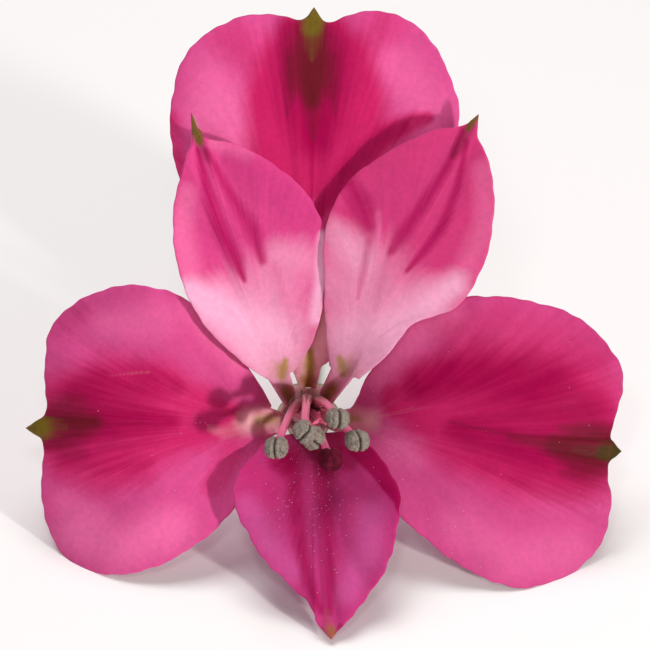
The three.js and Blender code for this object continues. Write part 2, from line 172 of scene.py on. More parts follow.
@dataclass
class Skin:
    """A closed surface before it becomes a mesh.

    Attributes:
        points: the vertices, in the part's frame, in millimetres.
        faces: arrays of corner numbers, one array for each number of corners.
        uv: two coordinates of each vertex on its own surface.
        marks: named sets of three values for each vertex, which the finish reads.
    """

    points: Array
    faces: list[Array]
    uv: Array
    marks: dict[str, Array] = field(default_factory=dict)

    def volume(self) -> float:
        """The volume enclosed, as the sum of the cones from the origin to each face's fan of triangles."""
        total = 0.0
        for faces in self.faces:
            for i in range(1, faces.shape[1] - 1):
                a, b, c = (self.points[faces[:, k]] for k in (0, i, i + 1))
                total += float(np.sum(a * np.cross(b, c))) / 6
        return total

    def piece(self, name: str, node: str, material: bpy.types.Material) -> bpy.types.Object:
        """Makes the object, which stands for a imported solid.

        Args:
            name: the piece's name.
            node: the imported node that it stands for, or "" if it stands for none.
            material: its finish.

        Returns:
            The object, with its place in its mesh.
        """
        if self.volume() < 0:
            self.faces = [faces[:, ::-1] for faces in self.faces]
        corners = np.concatenate([faces.ravel() for faces in self.faces])
        sizes = np.concatenate([np.full(len(faces), faces.shape[1]) for faces in self.faces])
        mesh = bpy.data.meshes.new(name)
        mesh.vertices.add(len(self.points))
        mesh.vertices.foreach_set("co", (self.points * MM).astype(np.float32).ravel())
        mesh.loops.add(len(corners))
        mesh.loops.foreach_set("vertex_index", corners.astype(np.int32))
        mesh.polygons.add(len(sizes))
        mesh.polygons.foreach_set("loop_start", (np.cumsum(sizes) - sizes).astype(np.int32))
        mesh.update(calc_edges=True)
        mesh.validate()
        mesh.shade_smooth()
        layer = mesh.uv_layers.new(name=UV_LAYER)
        layer.data.foreach_set("uv", self.uv[corners].astype(np.float32).ravel())
        for key, values in self.marks.items():
            solid = np.ones((len(self.points), 1))
            attribute = mesh.attributes.new(key, "FLOAT_COLOR", "POINT")
            attribute.data.foreach_set("color", np.hstack([values, solid]).astype(np.float32).ravel())
        mesh.materials.append(material)
        made = bpy.data.objects.new(name, mesh)
        bpy.context.scene.collection.objects.link(made)
        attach(made, BODY)
        if node:
            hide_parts(node)
        log.info("%s: %d faces, %.1f cubic mm", name, len(sizes), abs(self.volume()))
        return made


def plate(front: Array, back: Array) -> tuple[Array, list[Array]]:
    """Closes two grids of the same shape with a wall all round, into one plate.

    Args:
        front: rows by columns of points.
        back: the same on the other side.

    Returns:
        The vertices, front first, and the faces.
    """
    rows, columns = front.shape[:2]
    number = np.arange(rows * columns).reshape(rows, columns)
    rim = np.concatenate([number[0, :-1], number[:-1, -1], number[-1, :0:-1], number[:0:-1, 0]])
    after = np.roll(rim, -1)
    count = rows * columns
    wall = np.stack([rim, rim + count, after + count, after], axis=1)
    faces = [grid_quads(rows, columns), grid_quads(rows, columns, count)[:, ::-1], wall]
    return np.concatenate([front.reshape(-1, 3), back.reshape(-1, 3)]), [np.concatenate(faces)]


def tube(line: Array, radius: Array) -> tuple[Array, list[Array], Array]:
    """A closed tube along a line, with both ends shut: each ring lies square to it, measured from the x axis.

    Args:
        line: the middle of each ring.
        radius: rings by sides of distances from the line.

    Returns:
        The vertices, the faces, and the uv: the share of the way round and of the way along.
    """
    rings, sides = radius.shape
    tangent = unit(np.gradient(line, axis=0))
    x_axis = np.array([1.0, 0.0, 0.0])
    across = unit(x_axis - (tangent @ x_axis)[:, None] * tangent)
    up = np.cross(tangent, across)
    angle = np.linspace(0, 2 * math.pi, sides, endpoint=False)[None, :, None]
    wall = np.cos(angle) * across[:, None] + np.sin(angle) * up[:, None]
    points = (line[:, None] + radius[:, :, None] * wall).reshape(-1, 3)
    number = np.arange(rings * sides).reshape(rings, sides)
    beside = np.roll(number, -1, axis=1)
    quads = np.stack([number[:-1], beside[:-1], beside[1:], number[1:]], axis=-1).reshape(-1, 4)
    start, end = rings * sides, rings * sides + 1
    near = np.stack([np.full(sides, start), beside[0], number[0]], axis=1)
    far = np.stack([np.full(sides, end), number[-1], beside[-1]], axis=1)
    around = np.abs(np.linspace(-1, 1, sides, endpoint=False))
    uv = np.stack(np.broadcast_arrays(around[None, :], np.linspace(0, 1, rings)[:, None]), axis=-1)
    uv = np.vstack([uv.reshape(-1, 2), [[0.5, 0.0], [0.5, 1.0]]])
    return np.vstack([points, line[:1], line[-1:]]), [quads, np.concatenate([near, far])], uv


def globe(rings: int, sides: int) -> tuple[Array, list[Array], Array]:
    """Directions all round, as rings between two poles.

    Args:
        rings: rings between the poles.
        sides: directions in each ring.

    Returns:
        The directions, poles last, the faces between them, and the uv.
    """
    down = np.linspace(0, math.pi, rings + 2)[1:-1, None]
    angle = np.linspace(0, 2 * math.pi, sides, endpoint=False)[None, :]
    parts = np.broadcast_arrays(np.sin(down) * np.cos(angle), np.sin(down) * np.sin(angle), np.cos(down))
    number = np.arange(rings * sides).reshape(rings, sides)
    beside = np.roll(number, -1, axis=1)
    quads = np.stack([number[:-1], number[1:], beside[1:], beside[:-1]], axis=-1).reshape(-1, 4)
    top = np.stack([np.full(sides, rings * sides), number[0], beside[0]], axis=1)
    bottom = np.stack([np.full(sides, rings * sides + 1), beside[-1], number[-1]], axis=1)
    points = np.vstack([np.stack(parts, axis=-1).reshape(-1, 3), [[0, 0, 1], [0, 0, -1]]])
    uv = np.stack([np.abs(np.arctan2(points[:, 1], points[:, 0])) / math.pi, (1 - points[:, 2]) / 2], axis=1)
    return points, [quads, np.concatenate([top, bottom])], uv


@dataclass(frozen=True)
class FaceFrame:
    """The flower's own frame in the part's.

    Attributes:
        centre: its origin, the middle of the ovary's top.
        tilt_deg: how far above the horizon the flower looks.
    """

    centre: Place = (-2.1, -9.6, 8.75)
    tilt_deg: float = 35.0

    @property
    def lean(self) -> float:
        """The turn about the x axis that stands the face up, in radians."""
        return math.radians(90 - self.tilt_deg)

    def turned(self, vectors: Array) -> Array:
        """Directions given as u, v and a, turned about the x axis into the part's frame."""
        cosine, sine = math.cos(self.lean), math.sin(self.lean)
        u, v, a = np.moveaxis(np.asarray(vectors, float), -1, 0)
        return np.stack([u, v * cosine - a * sine, v * sine + a * cosine], axis=-1)

    def placed(self, points: Array) -> Array:
        """Points given as u, v and a, in the part's frame and never below the surface it lies on."""
        moved = self.turned(points) + np.array(self.centre)
        moved[..., 2] = np.maximum(moved[..., 2], 0)
        return moved


FACE = FaceFrame()


# ---- Finishes -------------------------------------------------------------------------------------------


def linear(colour: str) -> tuple[float, float, float, float]:
    """A colour written as six hex digits, as the linear colour that shaders take."""
    parts = [int(colour[i : i + 2], 16) / 255 for i in (0, 2, 4)]
    red, green, blue = (p / 12.92 if p <= 0.04045 else ((p + 0.055) / 1.055) ** 2.4 for p in parts)
    return red, green, blue, 1.0


Socket = bpy.types.NodeSocket


class Graph:
    """A material's nodes, with a short method for each kind that the finishes use."""

    def __init__(self, name: str) -> None:
        """Starts a material that holds one Principled shader."""
        self.material = bpy.data.materials.new(name)
        self.material.use_nodes = True
        self.nodes = self.material.node_tree.nodes
        self.shader = self.nodes["Principled BSDF"]

    def feed(self, socket: Socket, value: Socket | float | tuple) -> None:
        """Links value into the socket, or sets it there if it is a number or a colour."""
        if isinstance(value, bpy.types.NodeSocket):
            self.material.node_tree.links.new(value, socket)
        else:
            socket.default_value = value

    def set(self, **values: Socket | float | tuple) -> None:
        """Feeds the shader's sockets, named in lower case with _ for each space."""
        named = {socket.name.lower().replace(" ", "_"): socket for socket in self.shader.inputs}
        for name, value in values.items():
            self.feed(named[name], value)

    def marks(self, name: str) -> list[Socket]:
        """The three values of a named mark."""
        read = self.nodes.new("ShaderNodeAttribute")
        read.attribute_name = name
        split = self.nodes.new("ShaderNodeSeparateColor")
        self.feed(split.inputs[0], read.outputs["Color"])
        return list(split.outputs)

    def scaled(self, coordinates: Socket, scale: Place) -> Socket:
        """Coordinates, each multiplied by its scale."""
        mapping = self.nodes.new("ShaderNodeMapping")
        mapping.inputs["Scale"].default_value = scale
        self.feed(mapping.inputs["Vector"], coordinates)
        return mapping.outputs[0]

    def on_skin(self, across: float, along: float) -> Socket:
        """Coordinates that follow the surface's own uv, with this many units across it and along it."""
        read = self.nodes.new("ShaderNodeUVMap")
        read.uv_map = UV_LAYER
        return self.scaled(read.outputs["UV"], (across, along, 1))

    def in_space(self, per_metre: float) -> Socket:
        """Coordinates in space, with this many units a metre."""
        read = self.nodes.new("ShaderNodeTexCoord")
        return self.scaled(read.outputs["Object"], (per_metre,) * 3)

    def noise(self, at: Socket, detail: float = 2.0, roughness: float = 0.5) -> Socket:
        """Soft noise of about one cell a unit."""
        made = self.nodes.new("ShaderNodeTexNoise")
        made.inputs["Scale"].default_value = 1.0
        made.inputs["Detail"].default_value = detail
        made.inputs["Roughness"].default_value = roughness
        self.feed(made.inputs["Vector"], at)
        return made.outputs[0]

    def cells(self, at: Socket) -> Socket:
        """The distance to the nearest of scattered points, about one a unit: round grains."""
        made = self.nodes.new("ShaderNodeTexVoronoi")
        made.inputs["Scale"].default_value = 1.0
        self.feed(made.inputs["Vector"], at)
        return made.outputs["Distance"]

    def sum(self, first: Socket | float, second: Socket | float, share: float = 1.0) -> Socket:
        """first + share * second."""
        made = self.nodes.new("ShaderNodeMath")
        made.operation = "MULTIPLY_ADD"
        for socket, value in zip(made.inputs, (second, share, first)):
            self.feed(socket, value)
        return made.outputs[0]

    def spread(
        self,
        value: Socket,
        low: Socket | float,
        high: Socket | float,
        to_low: float = 0.0,
        to_high: float = 1.0,
    ) -> Socket:
        """Stretches value from the range low to high to another range, and holds it there.

        Args:
            value: what is stretched.
            low: its value that becomes to_low.
            high: its value that becomes to_high.
            to_low: the new range's start.
            to_high: the new range's end.

        Returns:
            The stretched value.
        """
        made = self.nodes.new("ShaderNodeMapRange")
        for socket, given in zip(made.inputs, (value, low, high, to_low, to_high)):
            self.feed(socket, given)
        return made.outputs[0]

    def mix(self, share: Socket | float, first: Socket | tuple, second: Socket | tuple) -> Socket:
        """A colour that goes from first to second as share goes from 0 to 1."""
        made = self.nodes.new("ShaderNodeMix")
        made.data_type = "RGBA"
        for socket, value in zip((made.inputs[0], made.inputs[6], made.inputs[7]), (share, first, second)):
            self.feed(socket, value)
        return made.outputs[2]

    def shade(self, colour: Socket | tuple, by: Socket | float) -> Socket:
        """A colour made darker or lighter: it is multiplied by a number."""
        made = self.nodes.new("ShaderNodeVectorMath")
        made.operation = "SCALE"
        self.feed(made.inputs[0], colour if isinstance(colour, bpy.types.NodeSocket) else colour[:3])
        self.feed(made.inputs["Scale"], by)
        return made.outputs[0]

    def relief(self, height: Socket, depth_mm: float) -> None:
        """Gives the shader's surface a fine relief of this depth."""
        made = self.nodes.new("ShaderNodeBump")
        made.inputs["Distance"].default_value = depth_mm * MM
        self.feed(made.inputs["Height"], height)
        self.set(normal=made.outputs[0])


class Pigment(Enum):
    """What colours a tepal's skin, in the order in which one covers the other."""

    GLOW = 0  # the lighter pink of the lobes, also painted light over other tepals' shadows
    HEART = 1  # the stronger pink along the middle, also painted shade in cast shadows
    PALE = 2  # near white, across the middle and at the base, also painted light over shadows and on a wrinkle
    DEEP = 3  # crimson in folds and streaks, also painted shadows
    FLAME = 4  # maroon, behind the point
    POINT = 5  # the green point
    NECTAR = 6  # the olive spot where the nectar runs
    CLAW = 7  # the brown of the claw's foot, strongest down its trough as painted shade
    BACK = 8  # the silvery back

    @property
    def layer(self) -> str:
        """The name of the marks that hold it, three to a layer."""
        return f"marks_{self.value // 3}"

    @property
    def place(self) -> int:
        """Its place among the three marks of its layer."""
        return self.value % 3

    @property
    def feather(self) -> float:
        """How far its edge runs in and out along the veins, as a share of its fade."""
        return FEATHERS.get(self, 0.1)


FEATHERS = {
    Pigment.HEART: 0.16,
    Pigment.PALE: 0.15,
    Pigment.DEEP: 0.2,
    Pigment.FLAME: 0.2,
    Pigment.POINT: 0.3,
}
PETAL_SHEEN = "f06a9c"


@dataclass(frozen=True)
class PetalFinish:
    """The satin skin of a tepal. Its pigments lie where the marks say, and feather out along the veins.

    Attributes:
        name: the material's name.
        ground: the colour where there are no marks.
        pigments: the colour of each pigment.
        painted_shade_tone: how light the whole skin is; below 1 it makes a darker copy of a finish, as
            painted shade.
        veins: how many veins lie side by side across the blade.
        band: how many veins wide the broader bands are.
        clouds_per_metre: how close the broad mottling is.
        grains_per_metre: how close the fine mottling is.
        fibres_per_metre: how close the papery relief is.
        plain_light: how light the skin is without veins and mottling.
        vein_light: how much lighter the lightest vein is.
        cloud_light: how much lighter the lightest cloud is.
        grain_light: how much lighter the lightest grain is.
        back_share: how much of a back's colour is its silver.
        roughness: the mean roughness.
        roughness_play: how far the clouds raise or lower it.
        relief_mm: how deep the relief is.
    """

    name: str
    ground: str
    pigments: dict[Pigment, str]
    painted_shade_tone: float = 1.0
    veins: float = 95.0
    band: float = 3.4
    clouds_per_metre: float = 320
    grains_per_metre: float = 1400
    fibres_per_metre: float = 3200
    plain_light: float = 0.735
    vein_light: float = 0.08
    cloud_light: float = 0.14
    grain_light: float = 0.3
    back_share: float = 0.6
    roughness: float = 0.5
    roughness_play: float = 0.08
    relief_mm: float = 0.08

    def material(self) -> bpy.types.Material:
        """Makes the material.

        Returns:
            A Principled material: veins and bands from noise stretched along the uv decide where each pigment
            gives way to the next. Together with a broad and a fine mottling they shade it, and together with
            papery fibres they give the relief.
        """
        graph = Graph(self.name)
        fine = graph.noise(graph.on_skin(self.veins, 2.4), 3, 0.6)
        bands = graph.noise(graph.on_skin(self.veins / self.band, 1.5), 2)
        streak = graph.spread(graph.sum(fine, bands, 0.6), 0.6, 1.0)
        clouds = graph.noise(graph.in_space(self.clouds_per_metre), 3, 0.55)
        grains = graph.noise(graph.in_space(self.grains_per_metre), 3, 0.6)
        layers = {layer: graph.marks(layer) for layer in dict.fromkeys(pigment.layer for pigment in Pigment)}
        colour = linear(self.ground)
        for pigment in Pigment:
            mark = layers[pigment.layer][pigment.place]
            if pigment == Pigment.BACK:
                share = graph.sum(0.0, mark, self.back_share)
            else:
                low = graph.sum(0.0, streak, pigment.feather)
                high = graph.sum(1 - pigment.feather, streak, pigment.feather)
                share = graph.spread(mark, low, high)
            colour = graph.mix(share, colour, linear(self.pigments[pigment]))
        light = graph.sum(self.plain_light * self.painted_shade_tone, streak, self.vein_light * self.painted_shade_tone)
        light = graph.sum(light, clouds, self.cloud_light * self.painted_shade_tone)
        light = graph.sum(light, grains, self.grain_light * self.painted_shade_tone)
        smooth, rough = self.roughness - self.roughness_play, self.roughness + self.roughness_play
        graph.set(
            base_color=graph.shade(colour, light),
            roughness=graph.spread(clouds, 0.3, 0.7, smooth, rough),
            specular_ior_level=0.2,
            specular_tint=linear(PETAL_SHEEN),
            subsurface_weight=0.3,
            subsurface_radius=(1.0, 0.32, 0.5),
            subsurface_scale=1.0 * MM,
        )
        fibres = graph.noise(graph.in_space(self.fibres_per_metre), 2)
        graph.relief(graph.sum(graph.sum(0.0, fine, 0.4), fibres, 0.35), self.relief_mm)
        return graph.material


OUTER_PIGMENTS = {
    Pigment.GLOW: "e56aa4",
    Pigment.HEART: "c02262",
    Pigment.DEEP: "a00448",
    Pigment.PALE: "f0b4bc",
    Pigment.FLAME: "661622",
    Pigment.POINT: "6a5a1a",
    Pigment.NECTAR: "b0944c",
    Pigment.CLAW: "a4703f",
    Pigment.BACK: "d890b4",
}
OUTER_FINISH = PetalFinish("outer_petal", "cc4c8a", OUTER_PIGMENTS)
RIGHT_OUTER_PIGMENTS = OUTER_PIGMENTS | {Pigment.POINT: "423a10"}
# painted shade: the right outer tepal's skin is a darker copy of the outer finish, standing in for shade
SHADED_RIGHT_OUTER_FINISH = PetalFinish("right_outer_petal", "cc4c8a", RIGHT_OUTER_PIGMENTS, painted_shade_tone=0.85)
UPPER_PIGMENTS = OUTER_PIGMENTS | {
    Pigment.GLOW: "e670a4",
    Pigment.HEART: "c43a7c",
    Pigment.DEEP: "b0145c",
    Pigment.PALE: "f0aacb",
    Pigment.POINT: "74582a",
}
UPPER_FINISH = PetalFinish("upper_inner_petal", "d04484", UPPER_PIGMENTS)
# painted shade: the right inner tepal's skin is a darker copy of the upper finish, on a darker ground,
# standing in for shade
SHADED_RIGHT_UPPER_FINISH = replace(UPPER_FINISH, name="right_upper_inner_petal", ground="d03e7c", painted_shade_tone=0.86)
LOWER_PIGMENTS = OUTER_PIGMENTS | {
    Pigment.GLOW: "c25a9a",
    Pigment.HEART: "b02464",
    Pigment.DEEP: "98084a",
    Pigment.POINT: "8c6420",
    Pigment.BACK: "c078a8",
}
LOWER_FINISH = PetalFinish("lower_inner_petal", "b43474", LOWER_PIGMENTS)


@dataclass(frozen=True)
class PollenFinish:
    """The dull, grainy skin of an open anther.

    Attributes:
        name: the material's name.
        dust: the grains' colour.
        shadow: the colour between them and in the furrow.
        blush: the colour of bare patches.
        grains_per_metre: how close the grains lie.
        patches_per_metre: how close the patches lie.
    """

    name: str = "pollen"
    dust: str = "968c82"
    shadow: str = "40322c"
    blush: str = "805048"
    grains_per_metre: float = 5200
    patches_per_metre: float = 1400

    def material(self) -> bpy.types.Material:
        """Makes the material.

        Returns:
            A rough Principled material: round grains from cells, darker between them and in the furrow that
            the marks give, with a few reddish patches of bare sac.
        """
        graph = Graph(self.name)
        grains = graph.cells(graph.in_space(self.grains_per_metre))
        patches = graph.noise(graph.in_space(self.patches_per_metre), 4, 0.6)
        furrow = graph.marks("marks_0")[0]
        colour = graph.mix(graph.spread(grains, 0.4, 1.1, 0, 0.6), linear(self.dust), linear(self.shadow))
        colour = graph.mix(graph.spread(patches, 0.3, 0.5, 0.55, 0), colour, linear(self.shadow))
        colour = graph.mix(graph.spread(patches, 0.6, 0.76, 0, 0.45), colour, linear(self.blush))
        colour = graph.mix(graph.spread(furrow, 0.25, 0.9, 0, 0.85), colour, linear(self.shadow))
        graph.set(base_color=colour, roughness=0.92, specular_ior_level=0.15)
        graph.relief(graph.sum(patches, grains, -1.0), 0.12)
        return graph.material


DUST_FINISH = PollenFinish("fallen_pollen", "e8b4c8", "d898b0", "e09cb4")


@dataclass(frozen=True)
class BudFinish:
    """The dark, smooth skin of an anther that hasn't opened.

    Attributes:
        name: the material's name.
        skin: its colour.
        light: the colour of its lighter patches.
        patches_per_metre: how close those lie.
        pores_per_metre: how close the leathery relief is.
    """

    name: str = "closed_anther"
    skin: str = "4e1222"
    light: str = "701c34"
    patches_per_metre: float = 900
    pores_per_metre: float = 7000

    def material(self) -> bpy.types.Material:
        """Makes the material.

        Returns:
            A satin Principled material, lighter in patches, with a fine leathery relief.
        """
        graph = Graph(self.name)
        patches = graph.noise(graph.in_space(self.patches_per_metre), 4, 0.6)
        pores = graph.noise(graph.in_space(self.pores_per_metre), 2)
        colour = graph.mix(graph.spread(patches, 0.42, 0.7), linear(self.skin), linear(self.light))
        graph.set(
            base_color=colour,
            roughness=0.55,
            specular_ior_level=0.2,
            specular_tint=linear(PETAL_SHEEN),
        )
        graph.relief(graph.sum(pores, patches, 1.0), 0.04)
        return graph.material


@dataclass(frozen=True)
class ThreadFinish:
    """The smooth pink skin of a filament or the style: paler at its foot, with fine lines along it.

    Attributes:
        name: the material's name.
        foot: the colour at the foot.
        body: the colour along most of it.
        end: the colour at the end.
    """

    name: str = "filament"
    foot: str = "eca6b6"
    body: str = "e07a9c"
    end: str = "cc5a84"

    def material(self) -> bpy.types.Material:
        """Makes the material.

        Returns:
            A slightly glossy Principled material whose colour runs along the uv from foot to end.
        """
        graph = Graph(self.name)
        lines = graph.noise(graph.on_skin(9, 3), 3, 0.6)
        split = graph.nodes.new("ShaderNodeSeparateXYZ")
        graph.feed(split.inputs[0], graph.on_skin(1, 1))
        along = graph.sum(split.outputs["Y"], lines, 0.12)
        colour = graph.mix(graph.spread(along, 0.15, 0.6), linear(self.foot), linear(self.body))
        colour = graph.mix(graph.spread(along, 0.8, 1.08), colour, linear(self.end))
        graph.set(
            base_color=graph.shade(colour, graph.spread(lines, 0.3, 0.7, 0.88, 1.1)),
            roughness=0.36,
            specular_ior_level=0.45,
            subsurface_weight=0.35,
            subsurface_radius=(1.0, 0.35, 0.4),
            subsurface_scale=0.8 * MM,
        )
        graph.relief(lines, 0.05)
        return graph.material


@dataclass(frozen=True)
class StalkFinish:
    """The green skin of the ovary and the stalk, striped along, with a paler cut end.

    Attributes:
        name: the material's name.
        green: the dark stripes' colour.
        light: the light stripes' and the ribs' colour.
        blush: the reddish colour of the ovary's top.
        cut: the pith's colour.
        specks_per_metre: how close the specks and the pith's dots lie.
    """

    name: str = "green_skin"
    green: str = "5f7f2e"
    light: str = "93ac55"
    blush: str = "d48c90"
    cut: str = "c5cc9a"
    specks_per_metre: float = 2600

    def material(self) -> bpy.types.Material:
        """Makes the material.

        Returns:
            A satin Principled material: light and dark stripes from noise stretched along the uv, a reddish
            blush where the marks say, and the cut end's pale pith with darker dots.
        """
        graph = Graph(self.name)
        stripes = graph.noise(graph.on_skin(26, 5), 3, 0.55)
        specks = graph.noise(graph.in_space(self.specks_per_metre), 2)
        rib, blush, cut = graph.marks("marks_0")
        colour = graph.mix(graph.spread(stripes, 0.36, 0.66), linear(self.green), linear(self.light))
        colour = graph.mix(graph.sum(0.0, rib, 0.45), colour, linear(self.light))
        colour = graph.mix(graph.sum(0.0, blush, 0.9), colour, linear(self.blush))
        dots = graph.spread(graph.cells(graph.in_space(self.specks_per_metre)), 0.1, 0.4)
        pith = graph.mix(dots, linear(self.green), linear(self.cut))
        colour = graph.mix(cut, colour, pith)
        graph.set(
            base_color=graph.shade(colour, graph.spread(specks, 0.3, 0.7, 0.92, 1.06)),
            roughness=0.46,
            specular_ior_level=0.4,
            subsurface_weight=0.15,
            subsurface_radius=(0.5, 1.0, 0.3),
            subsurface_scale=0.8 * MM,
        )
        graph.relief(graph.sum(stripes, specks, 0.3), 0.08)
        return graph.material


@dataclass(frozen=True)
class FloorFinish:
    """A plain, very pale, matt floor.

    Attributes:
        name: the material's name.
        pale: its colour.
        clouds_per_metre: how close its faint clouds lie.
    """

    name: str = "floor"
    pale: str = "fcfbfa"
    clouds_per_metre: float = 9

    def material(self) -> bpy.types.Material:
        """Makes the material: a matt Principled one with hardly visible clouds."""
        graph = Graph(self.name)
        clouds = graph.noise(graph.in_space(self.clouds_per_metre), 2)
        graph.set(
            base_color=graph.shade(linear(self.pale), graph.spread(clouds, 0.3, 0.7, 0.985, 1.0)),
            roughness=0.9,
            specular_ior_level=0.1,
        )
        return graph.material


# ---- Tepals ---------------------------------------------------------------------------------------------


@dataclass(frozen=True)
class Funnel:
    """How far a tepal stands out of the ovary's top, by its distance from the flower's axis.

    Attributes:
        ring: the radius where its claw stands.
        mouth: how far out it stands where it has opened flat.
        flare: how fast it gets there: small is a steep throat.
        slope: how much further it leans forward per millimetre.
        curl: how strongly it bends back, or forward if below 0.
        turn: the radius from which it bends.
    """

    ring: float
    mouth: float
    flare: float
    slope: float = 0.0
    curl: float = 0.0
    turn: float = 0.0

    def depth(self, radius: Array) -> Array:
        """An exponential rise to the mouth, plus the slope, less the curl times the square past the turn."""
        out = np.maximum(0, radius - self.ring)
        past = np.maximum(0, radius - self.turn)
        rise = self.mouth * (1 - np.exp(-out / self.flare))
        return FOOT_GAP + rise + self.slope * out - self.curl * past**2


@dataclass(frozen=True)
class Furrow:
    """A crease along a blade.

    Attributes:
        at: how far to the right of the line to the tip it runs, as a share of the half width.
        width: how far to each side it fades to about a third of its depth.
        depth: how deep its middle is.
    """

    at: float
    width: float
    depth: float


@dataclass(frozen=True)
class Wave:
    """The margin's waves.

    Attributes:
        height: how far they rise and fall.
        count: how many half waves each side has.
        phase: where in a wave the tip lies, in radians.
    """

    height: float
    count: float
    phase: float


@dataclass(frozen=True)
class Stroke:
    """A brush stroke of one pigment, drawn on the face.

    Attributes:
        pigment: what it colours.
        path: u, v and the half width at each of its points.
        strength: how strongly it covers.
        softness: the share of the half width over which its edge fades, to both sides of it.
    """

    pigment: Pigment
    path: tuple[Place, ...]
    strength: float = 1.0
    softness: float = 0.6

    def cover(self, points: Array) -> Array:
        """How strongly the stroke covers points.

        The distance to each straight piece of the path, in half widths there, counts, and the nearest wins.

        Args:
            points: rows by columns of u and v.

        Returns:
            Values from 0 to 1, rows by columns.
        """
        path = np.array(self.path)
        start, step = path[:-1], np.diff(path, axis=0)
        to_point = points[..., None, :] - start[:, :2]
        share = np.clip(np.sum(to_point * step[:, :2], -1) / np.sum(step[:, :2] ** 2, -1), 0, 1)
        away = np.linalg.norm(to_point - share[..., None] * step[:, :2], axis=-1)
        nearest = np.min(away / (start[:, 2] + share * step[:, 2]), axis=-1)
        return self.strength * (1 - smoothstep(nearest, 1 - self.softness, 1 + self.softness))


FOOT_GAP = 0.45  # from the middle of the ovary's top to what stands on it
CLAW_FOOT_HALF_WIDTH = 1.05
CLAW_HOLLOW = 0.45  # how deep the claw's trough is
CLAW_END = 0.35  # how far up the blade its trough and its thickness run out
UV_CLAW = 0.3  # how long the claw is in the uv, where the blade is 1

SCALLOPS = (2.3, 3.7, 5.9, 9.1)  # wave lengths along the margin
PLEATS = (0.1, 0.16, 0.26)  # wave lengths, as shares of half the margin
PLEAT_SHARE = 0.35  # of the crinkle
DENT_SIZE = 5.5
DENT_SHARE = 0.7  # of the crinkle
FURROW_END = 0.95  # of the way to the tip, past which a furrow keeps its depth

CLAW_PALE = 0.85  # how pale the claw's foot is
FOOT_PALE_RIM = 0.75  # how much of the foot's brown and painted shade its rims lose
RIB_WIDTH = 1.3  # of the back's green rib
BACK_PIGMENT = 0.55  # how much of the front's pigment shows on the back

CLAW_ROWS = 16
BLADE_ROWS = 84
BLADE_COLUMNS = 300
ROW_CROWDING = 1.25  # above 1, rows lie closer together near the margin
TIP_CROWDING = 1.35  # above 1, the margin's places lie closer together near the tip
COLUMN_EASE = 0.85  # with the tip's crowding, how evenly the columns share out the margin


@dataclass(frozen=True)
class Sheet:
    """A tepal's middle surface, as rows from the claw's foot to the margin by columns from left to right.

    Attributes:
        points: u, v and a.
        opened: 0 on the claw and from 0 to 1 on the blade, for each row.
        column: from -1 on the left over 0 at the tip to 1 on the right, for each column.
        forward: the share of the way from the root to the tip.
        side: the distance to the right of that line.
        claw: from 0 at the claw's foot to 1 at its top and on the blade, for each row.
    """

    points: Array
    opened: Array
    column: Array
    forward: Array
    side: Array
    claw: Array

    def to_rim(self) -> Array:
        """The shortest way to the sheet's rim along its rows or columns, as running lengths."""
        down = np.linalg.norm(np.diff(self.points, axis=0), axis=-1)
        wide = np.linalg.norm(np.diff(self.points, axis=1), axis=-1)
        rows, columns = self.points.shape[:2]
        ahead = np.vstack([np.cumsum(down[::-1], axis=0)[::-1], np.zeros((1, columns))])
        right = np.hstack([np.cumsum(wide[:, ::-1], axis=1)[:, ::-1], np.zeros((rows, 1))])
        left = np.hstack([np.zeros((rows, 1)), np.cumsum(wide, axis=1)])
        return np.minimum(ahead, np.minimum(left, right))

    def normals(self) -> Array:
        """Directions square to the sheet, from the slopes along its rows and columns."""
        down, wide = np.gradient(self.points, axis=(0, 1))
        return unit(np.cross(wide, down))


